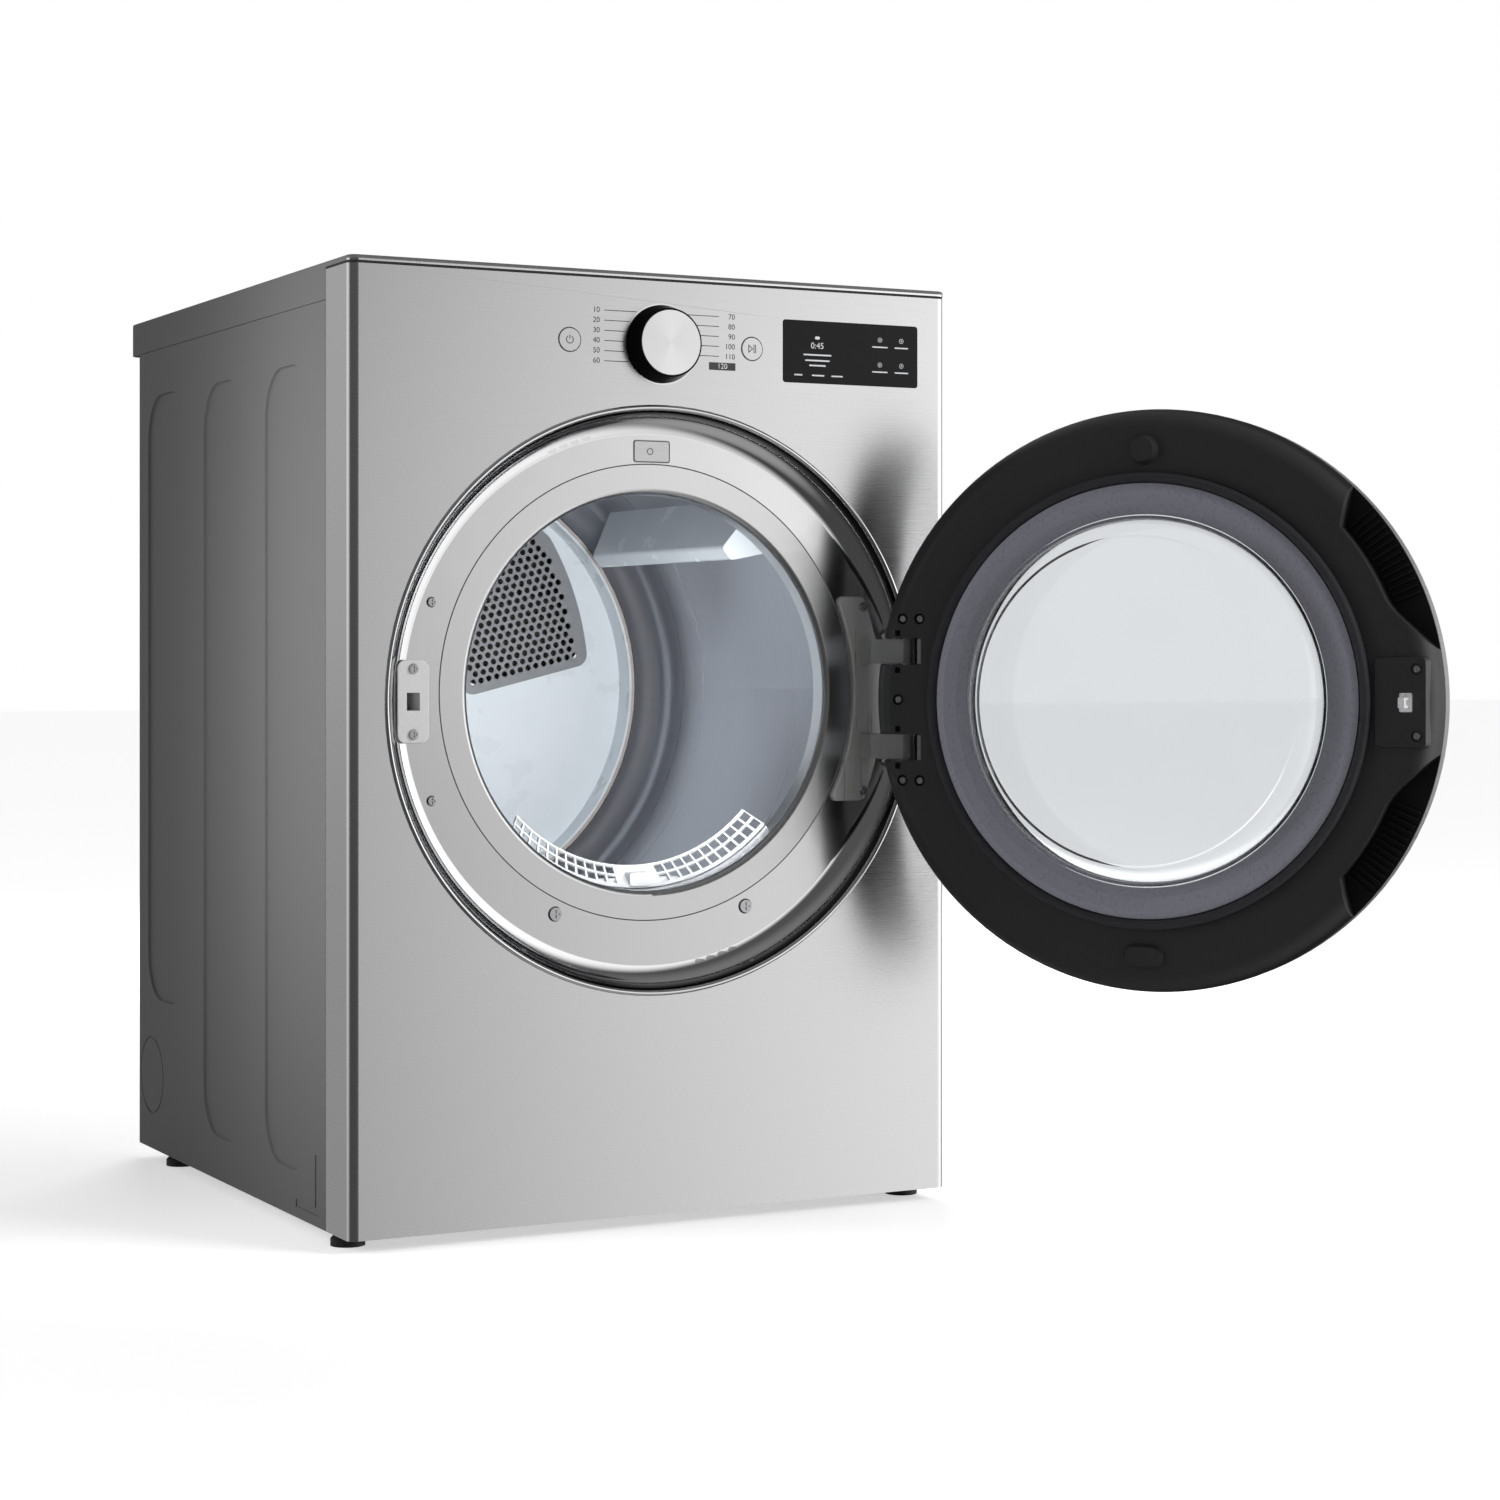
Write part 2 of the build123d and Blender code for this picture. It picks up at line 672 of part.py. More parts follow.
# Lifters: tapered fins along the drum wall
lifter_tip_radius = drum_radius - lifter_height
with BuildPart() as fin:
    extrude(polygon_on(facing(lifter_rear), (-lifter_base / 2, drum_z + drum_radius),
                       (-lifter_tip / 2, drum_z + lifter_tip_radius),
                       (lifter_tip / 2, drum_z + lifter_tip_radius),
                       (lifter_base / 2, drum_z + drum_radius)), amount=lifter_rear - lifter_front)
    extrude(disc_on(facing(lifter_rear), 0, drum_z, drum_radius), amount=lifter_rear - lifter_front,
            mode=Mode.INTERSECT)
    lifter_side = Plane(origin=(-lifter_base, front_y, drum_z), x_dir=(0, 1, 0), z_dir=(1, 0, 0))
    extrude(polygon_on(lifter_side, (lifter_front, drum_radius),
                       (lifter_front + lifter_slope, lifter_tip_radius),
                       (lifter_rear - lifter_end_slope, lifter_tip_radius), (lifter_rear, drum_radius)),
            amount=2 * lifter_base, mode=Mode.INTERSECT)
    fillet(fin.edges().filter_by(Axis.Y).group_by(Axis.Z)[0], radius=lifter_tip / 3)
with BuildPart() as lifters:
    for turn in range(lifter_count):
        angle = 90.0 - lifter_angle + turn * 360.0 / lifter_count
        add(fin.part.rotate(Axis((0, 0, drum_z), (0, 1, 0)), angle))
write(lifters.part, "lifters")

# Rollers under the rear of the drum and their axles on the rear wall
roller_reach = drum_outer + fit_gap + roller_radius
roller_drop = roller_reach * math.cos(math.radians(roller_spread))
roller_x = roller_reach * math.sin(math.radians(roller_spread))
roller_z = drum_z - roller_drop
axle_front = roller_depth - 4.0
with BuildPart() as roller_axles:
    for side_x in (-roller_x, roller_x):
        extrude(disc_on(facing(rear_wall_depth), side_x, roller_z, axle_radius),
                amount=rear_wall_depth - axle_front)
        extrude(disc_on(facing(rear_wall_depth), side_x, roller_z, 2 * axle_radius),
                amount=rear_wall_depth - roller_depth - roller_width - fit_gap)
write(roller_axles.part, "roller_axles")
for side, side_x in (("left", -roller_x), ("right", roller_x)):
    with BuildPart() as roller:
        extrude(disc_on(facing(roller_depth + roller_width), side_x, roller_z, roller_radius,
                        axle_radius + run_gap), amount=roller_width)
        extrude(disc_on(facing(roller_depth + roller_width), side_x, roller_z, roller_radius - 6.0,
                        axle_radius + 5.0), amount=4.0, mode=Mode.SUBTRACT)
        extrude(disc_on(facing(roller_depth + 4.0), side_x, roller_z, roller_radius - 6.0,
                        axle_radius + 5.0), amount=4.0, mode=Mode.SUBTRACT)
    write(roller.part, f"roller_{side}")


def belt_loop(plane, gap):
    """Outline of the belt around drum and motor pulley, at a distance from both."""
    with BuildSketch(plane, mode=Mode.PRIVATE) as loop:
        with Locations((0, drum_z)):
            Circle(drum_outer + gap)
        with Locations((motor_x, motor_z)):
            Circle(pulley_radius + gap)
        make_hull()
    return loop.sketch


# Drive belt
belt_rear = belt_depth + belt_width / 2
with BuildPart() as drive_belt:
    extrude(belt_loop(facing(belt_rear), fit_gap + belt_thickness), amount=belt_width)
    extrude(belt_loop(facing(belt_rear), fit_gap), amount=belt_width, mode=Mode.SUBTRACT)
write(drive_belt.part, "drive_belt")

# Motor: a round can with end bells, its shaft with the belt pulley, and its cradle
motor_rear = motor_front + motor_length
pulley_front = belt_depth - belt_width
pulley_rear = belt_depth + belt_width
blower_rear = blower_depth + blower_width
with BuildPart() as motor:
    extrude(disc_on(facing(motor_rear), motor_x, motor_z, motor_radius), amount=motor_length)
    fillet(motor.edges().filter_by(GeomType.CIRCLE), radius=10.0)
    extrude(disc_on(facing(motor_rear), motor_x, motor_z, shaft_radius + run_gap), amount=motor_length,
            mode=Mode.SUBTRACT)
write(motor.part, "motor")

with BuildPart() as motor_shaft:
    extrude(disc_on(facing(pulley_rear), motor_x, motor_z, shaft_radius),
            amount=pulley_rear - blower_depth)
    extrude(disc_on(facing(pulley_rear), motor_x, motor_z, pulley_radius), amount=2 * belt_width)
    for flange_depth in (pulley_front, pulley_rear + 2.0):
        extrude(disc_on(facing(flange_depth), motor_x, motor_z, pulley_radius + 5.0), amount=2.0)
write(motor_shaft.part, "motor_shaft")

# Idler place: on the outside of the belt's right run, half way along it
belt_lean = math.atan2(motor_z - drum_z, motor_x)
belt_span = math.hypot(motor_x, motor_z - drum_z)
belt_normal = belt_lean + math.acos((drum_outer - pulley_radius) / belt_span)
belt_mid_radius = (drum_outer + pulley_radius) / 2 + fit_gap
idler_out = belt_thickness + fit_gap + idler_radius
idler_x = motor_x / 2 + (belt_mid_radius + idler_out) * math.cos(belt_normal)
idler_z = (motor_z + drum_z) / 2 + (belt_mid_radius + idler_out) * math.sin(belt_normal)
arm_front = belt_rear + 4.0
arm_rear = arm_front + idler_bar

with BuildPart() as motor_bracket:
    cradle = motor_radius * 0.75
    for cradle_depth in (motor_front + 40.0, motor_rear - 20.0):
        extrude(span_on(facing(cradle_depth), motor_x - cradle, motor_x + cradle, pan_top, motor_z - 20.0),
                amount=12.0)
    extrude(span_on(facing(motor_rear), motor_x - cradle, motor_x + cradle, pan_top,
                    pan_top + pan_thickness), amount=motor_length)
    extrude(disc_on(facing(motor_rear), motor_x, motor_z, motor_radius), amount=motor_length,
            mode=Mode.SUBTRACT)
    extrude(span_on(facing(arm_rear + 10.0), idler_pivot_x - 16.0, idler_pivot_x + 16.0, pan_top,
                    idler_pivot_z + 14.0), amount=8.0)
    extrude(span_on(facing(arm_rear + 10.0), motor_x, idler_pivot_x + 16.0, pan_top,
                    pan_top + pan_thickness), amount=arm_rear + 10.0 - motor_rear)
    extrude(disc_on(facing(arm_rear + 2.0), idler_pivot_x, idler_pivot_z, idler_pin_radius),
            amount=idler_bar + 4.0)
write(motor_bracket.part, "motor_bracket")

with BuildPart() as idler_arm:
    with BuildSketch(facing(arm_rear)):
        with Locations((idler_pivot_x, idler_pivot_z)):
            Circle(2.4 * idler_pin_radius)
        with Locations((idler_x, idler_z)):
            Circle(1.8 * idler_pin_radius)
        make_hull()
    extrude(amount=idler_bar)
    extrude(disc_on(facing(arm_rear), idler_pivot_x, idler_pivot_z, idler_pin_radius + run_gap),
            amount=idler_bar, mode=Mode.SUBTRACT)
    extrude(disc_on(facing(arm_front), idler_x, idler_z, idler_pin_radius),
            amount=arm_front - belt_depth + belt_width / 2 + 2.0)
write(idler_arm.part, "idler_arm")

with BuildPart() as idler_pulley:
    extrude(disc_on(facing(belt_rear + 3.0), idler_x, idler_z, idler_radius, idler_pin_radius + run_gap),
            amount=belt_width + 5.0)
write(idler_pulley.part, "idler_pulley")

# Blower: a wheel of vanes on the motor shaft inside a flat case
with BuildPart() as blower_wheel:
    extrude(disc_on(facing(blower_rear - 8.0), motor_x, motor_z, blower_radius, shaft_radius), amount=3.0)
    extrude(disc_on(facing(blower_rear - 8.0), motor_x, motor_z, 2.2 * shaft_radius, shaft_radius),
            amount=30.0)
    with BuildSketch(facing(blower_rear - 11.0)):
        with Locations((motor_x, motor_z)):
            with PolarLocations(blower_radius - 12.0, blower_vanes):
                Rectangle(20.0, 1.6)
    extrude(amount=blower_width - 24.0)
write(blower_wheel.part, "blower_wheel")

with BuildPart() as blower_housing:
    extrude(span_on(facing(blower_rear), blower_case_left, blower_case_right, blower_case_bottom,
                    blower_case_top, 20.0), amount=blower_width)
    extrude(span_on(facing(blower_rear - case_wall), blower_case_left + case_wall,
                    blower_case_right - case_wall, blower_case_bottom + case_wall,
                    blower_case_top - case_wall, 18.0), amount=blower_width - 2 * case_wall,
            mode=Mode.SUBTRACT)
    extrude(disc_on(facing(blower_depth + case_wall), motor_x, motor_z, blower_radius * 0.65),
            amount=case_wall, mode=Mode.SUBTRACT)
    extrude(disc_on(facing(blower_rear), motor_x, motor_z, 2 * shaft_radius), amount=case_wall,
            mode=Mode.SUBTRACT)
    extrude(disc_on(facing(blower_rear), exhaust_x, exhaust_z, exhaust_radius - exhaust_wall),
            amount=case_wall, mode=Mode.SUBTRACT)
    extrude(span_on(facing(blower_rear), blower_case_left + 20.0, blower_case_right - 20.0, pan_top,
                    blower_case_bottom + case_wall), amount=blower_width)
write(blower_housing.part, "blower_housing")

# Duct from the lint filter down to the blower's inlet
duct_front = front_wall_depth + sheet
duct_rear = blower_depth
duct_top = drum_z - collar_outer - 16.0
with BuildPart() as lint_duct:
    extrude(span_on(facing(duct_rear), -duct_half_width - duct_wall, duct_half_width + duct_wall,
                    duct_bottom, duct_top), amount=duct_rear - duct_front)
    extrude(span_on(facing(duct_rear), 0, motor_x + blower_radius, motor_z - 60.0, motor_z + 70.0),
            amount=duct_rear - duct_front)
    extrude(span_on(facing(duct_rear - duct_wall), -duct_half_width, duct_half_width,
                    duct_bottom + duct_wall, duct_top), amount=duct_rear - duct_front - 2 * duct_wall,
            mode=Mode.SUBTRACT)
    extrude(span_on(facing(duct_rear - duct_wall), 0, motor_x + blower_radius - duct_wall,
                    motor_z - 60.0 + duct_wall, motor_z + 70.0 - duct_wall),
            amount=duct_rear - duct_front - 2 * duct_wall, mode=Mode.SUBTRACT)
    extrude(disc_on(facing(duct_rear), motor_x, motor_z, blower_radius * 0.65), amount=duct_wall,
            mode=Mode.SUBTRACT)
write(lint_duct.part, "lint_duct")

# Exhaust pipe along the base and the collar that a vent hose slides over
with BuildPart() as exhaust_duct:
    extrude(disc_on(facing(rear_inside), exhaust_x, exhaust_z, exhaust_radius,
                    exhaust_radius - exhaust_wall), amount=rear_inside - blower_rear)
write(exhaust_duct.part, "exhaust_duct")
with BuildPart() as exhaust_collar:
    extrude(disc_on(facing(rear_face + exhaust_reach), exhaust_x, exhaust_z, exhaust_radius,
                    exhaust_radius - exhaust_wall), amount=exhaust_reach)
    extrude(disc_on(facing(rear_face + sheet), exhaust_x, exhaust_z, exhaust_flange,
                    exhaust_radius - exhaust_wall), amount=sheet)
write(exhaust_collar.part, "exhaust_collar")

# Lint filter: a sloping lattice along the lip of the opening over a flat net in the duct
filter_rear = filter_depth + filter_thickness
band_outer = opening_radius - 1.0
band_inner = band_outer - filter_band
half_turn = math.radians(filter_half_angle)
band_mid = (band_outer + band_inner) / 2
band_slope = math.atan2(filter_thickness, filter_band)
band_length = math.hypot(filter_thickness, filter_band)
net_depth = filter_depth + filter_thickness / 2
panel_bottom = drum_z - band_outer - filter_panel_drop
cell_turn = (filter_half_angle - filter_middle) / filter_cells
cell_wide = band_mid * math.radians(cell_turn) - filter_bar
cell_tall = (band_length - 3 * filter_bar) / 2
with BuildPart() as lint_filter:
    with BuildSketch(drum_section):
        with BuildLine():
            Polyline((band_outer, -filter_depth), (band_inner, -filter_rear),
                     (band_inner - filter_bar, -filter_rear), (band_inner - filter_bar, -filter_rear + 1.0),
                     (band_outer - filter_bar, -filter_depth), close=True)
        make_face()
    revolve(axis=drum_axis)
    wedge = 2 * opening_radius
    extrude(polygon_on(facing(2 * filter_rear), (0, drum_z),
                       (-wedge * math.sin(half_turn), drum_z - wedge * math.cos(half_turn)),
                       (wedge * math.sin(half_turn), drum_z - wedge * math.cos(half_turn))),
            amount=3 * filter_rear, mode=Mode.INTERSECT)
    for wing in (-1, 1):
        for cell in range(filter_cells):
            bearing = math.radians(-90.0 + wing * (filter_middle + (cell + 0.5) * cell_turn))
            radial = Vector(math.cos(bearing), 0, math.sin(bearing))
            along = (radial * -filter_band + Vector(0, filter_thickness, 0)).normalized()
            for ply in (-1, 1):
                shift = band_length / 2 + ply * (cell_tall + filter_bar) / 2
                place = Vector(0, front_y + filter_depth, drum_z) + radial * (band_outer - filter_bar / 2)
                around = Vector(-radial.Z, 0, radial.X)
                window = Plane(origin=place + along * shift, x_dir=along, z_dir=along.cross(around))
                extrude(rectangle_on(window, 0, 0, cell_tall, cell_wide), amount=filter_bar * 2, both=True,
                        mode=Mode.SUBTRACT)
    extrude(rectangle_on(facing(net_depth + 3.0), 0, drum_z - band_outer + 9.0, filter_tab, 14.0, 3.0),
            amount=filter_thickness / 2 + 5.0)
    extrude(span_on(facing(net_depth + 3.0), -filter_panel_width / 2, filter_panel_width / 2,
                    panel_bottom, drum_z - band_outer + 10.0), amount=6.0)
    with BuildSketch(facing(net_depth + 3.0)):
        with Locations((0, panel_bottom + filter_panel_drop / 2 - 6.0)):
            with GridLocations(18.0, 18.0, 10, 8):
                Rectangle(15.0, 15.0)
    extrude(amount=6.0, mode=Mode.SUBTRACT)
write(lint_filter.part, "lint_filter")

# Carrier behind the front panel for the display, the knob's encoder and the buttons
with BuildPart() as control_housing:
    extrude(span_on(facing(housing_depth), housing_left, housing_right, control_z - housing_half_height,
                    control_z + housing_half_height), amount=housing_depth - sheet)
    extrude(span_on(facing(housing_depth - housing_wall), housing_left + housing_wall,
                    housing_right - housing_wall, control_z - housing_half_height + housing_wall,
                    control_z + housing_half_height - housing_wall), amount=housing_depth,
            mode=Mode.SUBTRACT)
    for button_x in (-button_offset, button_offset):
        extrude(disc_on(facing(housing_depth - housing_wall), button_x, control_z,
                        button_radius + button_flange + housing_wall, button_radius + button_flange + fit_gap),
                amount=housing_depth - housing_wall - sheet)
write(control_housing.part, "control_housing")

with BuildPart() as encoder:
    extrude(rectangle_on(facing(housing_depth - housing_wall), 0, control_z, 18.0, 18.0), amount=14.0)
    extrude(disc_on(facing(housing_depth - housing_wall), 0, control_z, knob_shaft_radius + run_gap),
            amount=14.0, mode=Mode.SUBTRACT)
write(encoder.part, "encoder")

with BuildPart() as display_window:
    extrude(rectangle_on(facing(sheet), display_x, control_z, display_width, display_height,
                         display_corner), amount=sheet + 0.6)
    fillet(display_window.faces().sort_by(Axis.Y)[0].edges(), radius=0.4)
    extrude(rectangle_on(facing(sheet + 1.5), display_x, control_z, display_width + 4.0,
                         display_height + 4.0, display_corner), amount=1.5)
write(display_window.part, "display_window")

# Knob: a tapered black body on a shaft, with a metal face set in its end
knob_section = Plane(origin=(0, front_y, control_z), x_dir=(1, 0, 0), z_dir=(0, 0, -1))
knob_axis = Axis((0, front_y, control_z), (0, -1, 0))
knob_foot = 0.5
face_seat = knob_reach - 1.5
with BuildPart() as knob_body:
    with BuildSketch(knob_section):
        with BuildLine():
            Polyline((0, knob_foot), (knob_base_radius - 1.0, knob_foot), (knob_base_radius, knob_foot + 1.5),
                     (knob_base_radius - 0.8, knob_foot + 5.0), (knob_face_radius + 1.4, knob_reach - 0.6),
                     (knob_face_radius + 0.5, knob_reach), (knob_face_radius + fit_gap, knob_reach - 0.4),
                     (knob_face_radius + fit_gap, face_seat), (0, face_seat), close=True)
        make_face()
    revolve(axis=knob_axis)
    extrude(disc_on(facing(housing_depth - housing_wall - 1.0), 0, control_z, knob_shaft_radius),
            amount=housing_depth - housing_wall - 1.0 + knob_foot)
write(knob_body.part, "knob_body")
with BuildPart() as knob_face:
    extrude(disc_on(facing(-face_seat), 0, control_z, knob_face_radius), amount=1.8)
    chamfer(knob_face.faces().sort_by(Axis.Y)[0].edges(), length=0.6)
write(knob_face.part, "knob_face")

# Push buttons, held behind the panel by a flange
button_rear = housing_depth - housing_wall - button_travel - fit_gap
for name, button_x in (("power_button", -button_offset), ("start_button", button_offset)):
    with BuildPart() as button:
        extrude(disc_on(facing(sheet + 2.0), button_x, control_z, button_radius), amount=sheet + 2.6)
        fillet(button.faces().sort_by(Axis.Y)[0].edges(), radius=0.5)
        extrude(disc_on(facing(sheet + 2.4), button_x, control_z, button_radius + button_flange), amount=2.0)
        extrude(disc_on(facing(button_rear), button_x, control_z, button_radius / 2),
                amount=button_rear - sheet)
    write(button.part, name)

# Latch catch in the well: a plate on a box with a square mouth
plate_front = well_depth - plate_thickness
catch_edge = math.hypot(abs(catch_x) + catch_width / 2 - catch_corner, catch_height / 2 - catch_corner)
catch_over = max(0.0, catch_edge + catch_corner - floor_radius)
catch_rear = well_depth - well_curve + math.sqrt(well_curve**2 - catch_over**2) - fit_gap
with BuildPart() as latch_catch:
    extrude(rectangle_on(facing(catch_rear), catch_x, well_z, catch_width, catch_height, catch_corner),
            amount=catch_rear - plate_front)
    fillet(latch_catch.faces().sort_by(Axis.Y)[0].edges(), radius=1.2)
    extrude(rectangle_on(facing(well_depth), catch_x + catch_width / 4, well_z, catch_width / 2 - 2.0,
                         catch_height - catch_corner), amount=well_depth - catch_rear)
    extrude(rectangle_on(facing(well_depth + catch_body), catch_x, well_z, catch_width - 10.0,
                         catch_height / 2 - 1.0), amount=well_depth + catch_body - catch_rear)
    extrude(rectangle_on(facing(well_depth + catch_body - 2.0), catch_x, well_z, catch_hole_width,
                         catch_hole_height), amount=catch_body + plate_thickness, mode=Mode.SUBTRACT)
write(latch_catch.part, "latch_catch")

# Lamp lens at the top of the well
with BuildPart() as drum_lamp:
    extrude(rectangle_on(facing(well_depth + sheet), 0, well_z + lamp_height, lamp_width, lamp_tall, 3.0),
            amount=sheet + 0.6)
    extrude(rectangle_on(facing(well_depth + 2 * sheet), 0, well_z + lamp_height, lamp_width + 6.0,
                         lamp_tall + 5.0, 3.0), amount=sheet)
write(drum_lamp.part, "drum_lamp")

# Hinge plate on the floor of the well with its two arms out to the pins
hinge_y = front_y - hinge_reach
arm_levels = (well_z - arm_offset, well_z + arm_offset)
arm_left = slot_inner + 7.0
arm_right = arm_left + 13.0
with BuildPart() as hinge_plate:
    with BuildSketch(facing(well_depth)):
        with Locations((0, well_z)):
            Circle(floor_radius - 1.0)
        with Locations((0, drum_z)):
            Circle(ring_radius + 3.5, mode=Mode.SUBTRACT)
        with Locations((floor_radius, well_z)):
            Rectangle(2 * floor_radius - 2 * 200.0, 2 * plate_half_height, mode=Mode.INTERSECT)
    extrude(amount=plate_thickness)
    fillet(hinge_plate.edges().filter_by(Axis.Y), radius=6.0)
    fillet(hinge_plate.faces().sort_by(Axis.Y)[0].edges(), radius=1.5)
    for arm_z in arm_levels:
        with BuildSketch(level(arm_z - arm_height / 2)):
            with BuildLine():
                Polyline((arm_left, front_y + plate_front), (arm_left, front_y),
                         (hinge_x - knuckle_radius + 1.0, hinge_y - 4.0),
                         (hinge_x + knuckle_radius - 2.0, hinge_y + 5.5), (arm_right, front_y + 5.0),
                         (arm_right, front_y + plate_front), close=True)
            make_face()
            with Locations((hinge_x, hinge_y)):
                Circle(knuckle_radius)
                Circle(pin_radius + run_gap, mode=Mode.SUBTRACT)
        extrude(amount=arm_height)
write(hinge_plate.part, "hinge_plate")


def screw_head_at(plane, x, y, radius, height):
    """Pan head with sloping sides and a cross recess, standing on a plane at a point of it."""
    extrude(disc_on(plane, x, y, radius), amount=height, taper=screw_slope)
    for width, length in ((screw_slot, 1.1 * radius), (1.1 * radius, screw_slot)):
        extrude(rectangle_on(plane.offset(height), x, y, width, length), amount=-height / 2,
                mode=Mode.SUBTRACT)


# Screws in the well: through the floor, the catch and the hinge plate
with BuildPart() as well_screws:
    for screw_z in (100.0, -100.0):
        screw_head_at(facing(well_depth), -246.0, well_z + screw_z, screw_radius, screw_head)
    for screw_x in (-110.0, 110.0):
        screw_head_at(facing(well_depth), screw_x, well_z - 219.0, wide_screw_radius, screw_head)
    for screw_x, screw_z in ((catch_x, 33.0), (catch_x, -33.0), (252.0, 99.0), (252.0, -99.0)):
        screw_head_at(facing(plate_front), screw_x, well_z + screw_z, screw_radius, screw_head)
write(well_screws.part, "well_screws")

# Brace across the cabinet and the main control box that it carries
brace_top = skirt_bottom - 4.0
with BuildPart() as cross_brace:
    extrude(span_on(facing(brace_depth + brace_width), -inner_half, inner_half, brace_top - brace_height,
                    brace_top), amount=brace_width)
    extrude(span_on(facing(brace_depth + brace_width), -inner_half, inner_half,
                    brace_top - brace_height, brace_top - sheet), amount=brace_width - sheet,
            mode=Mode.SUBTRACT)
write(cross_brace.part, "cross_brace")
with BuildPart() as control_box:
    extrude(span_on(facing(brace_depth), 40.0 - pan_half, 40.0 - pan_half + box_width,
                    brace_top - box_height, brace_top), amount=box_length)
    fillet(control_box.edges().filter_by(Axis.Y), radius=4.0)
write(control_box.part, "control_box")

# Terminal block for the supply and its cover with the cord gland hole
with BuildPart() as terminal_block:
    extrude(rectangle_on(facing(rear_inside), terminal_x, terminal_z, terminal_width * 0.75,
                         terminal_tall * 0.65), amount=18.0)
    with BuildSketch(facing(rear_inside)):
        with Locations((terminal_x, terminal_z)):
            with GridLocations(terminal_width / 6, 1.0, 3, 1):
                Circle(5.0)
    extrude(amount=-sheet)
write(terminal_block.part, "terminal_block")
terminal_bottom = terminal_z - terminal_tall / 2
with BuildPart() as terminal_cover:
    extrude(rectangle_on(facing(rear_face + terminal_reach), terminal_x, terminal_z, terminal_width,
                         terminal_tall), amount=terminal_reach)
    fillet(terminal_cover.edges().filter_by(Axis.Y), radius=5.0)
    extrude(rectangle_on(facing(rear_face + terminal_reach - sheet), terminal_x, terminal_z,
                         terminal_width - 2 * sheet, terminal_tall - 2 * sheet, 3.0),
            amount=terminal_reach, mode=Mode.SUBTRACT)
    with BuildSketch(level(terminal_bottom)):
        with Locations((terminal_x, front_y + rear_face + terminal_reach / 2)):
            Circle(gland_radius)
    extrude(amount=sheet, mode=Mode.SUBTRACT)
write(terminal_cover.part, "terminal_cover")

# Door frame: local x runs towards the hinge, local y is up, and out is away from the drum when shut
door_turn = math.radians(door_open)
door_x = Vector(math.cos(door_turn), math.sin(door_turn), 0)
door_out = Vector(math.sin(door_turn), -math.cos(door_turn), 0)
door_centre = Vector(hinge_x, hinge_y, well_z) - door_x * hinge_x - door_out * hinge_reach
door_section = Plane(origin=door_centre, x_dir=door_x, z_dir=(0, 0, -1))
door_axis = Axis(door_centre, door_out)


def door_inside(out):
    """Plane across the door that looks to the drum side; local y points down."""
    return Plane(origin=door_centre + door_out * out, x_dir=door_x, z_dir=-door_out)


def door_face(out):
    """Plane across the door at a distance out from the line of the front panel."""
    return Plane(origin=door_centre + door_out * out, x_dir=door_x, z_dir=door_out)


def pocket_outline(plane, half, inset):
    """Finger pocket at the free edge, above (1) or below (-1) the latch, grown by an inset."""
    def polar(radius, angle):
        turn = math.radians(180.0 - half * angle)
        return (radius * math.cos(turn), radius * math.sin(turn))

    low = pocket_start - inset / 5
    high = pocket_end + inset / 5
    inner = pocket_radius - inset
    outer = door_radius + 12.0
    middle = (low + high) / 2
    with BuildSketch(plane, mode=Mode.PRIVATE) as pocket:
        with BuildLine():
            hollow = ThreePointArc(polar(inner, low + pocket_lead), polar(inner, middle + 2.0),
                                   polar(inner, high - 5.0))
            edge = ThreePointArc(polar(outer, high + 1.0), polar(outer, middle), polar(outer, low - 2.0))
            Polyline(hollow @ 1, polar(door_radius, high), edge @ 0)
            Polyline(edge @ 1, polar(door_radius, low), hollow @ 0)
        make_face()
        corners = pocket.vertices().sort_by(lambda corner: math.hypot(corner.X, corner.Y))[0:2]
        high_first = corners.sort_by(lambda corner: abs(corner.Y))
        fillet(high_first[0], radius=pocket_sweep)
        fillet(high_first[1], radius=pocket_round)
    return pocket.sketch


arm_rows = (-arm_offset, arm_offset)
slot_height = arm_height + 2 * slot_clear
slot_out = hinge_reach + knuckle_radius + 6.0
ledge_out = -frame_face + 1.3
frame_in_radius = door_radius - door_wall
seat_x = catch_x
pad_inner = frame_inner + 1.0
hinge_screws = ((262.5, 85.0), (243.5, 85.0), (267.5, 0.0), (262.5, -85.0), (243.5, -85.0))

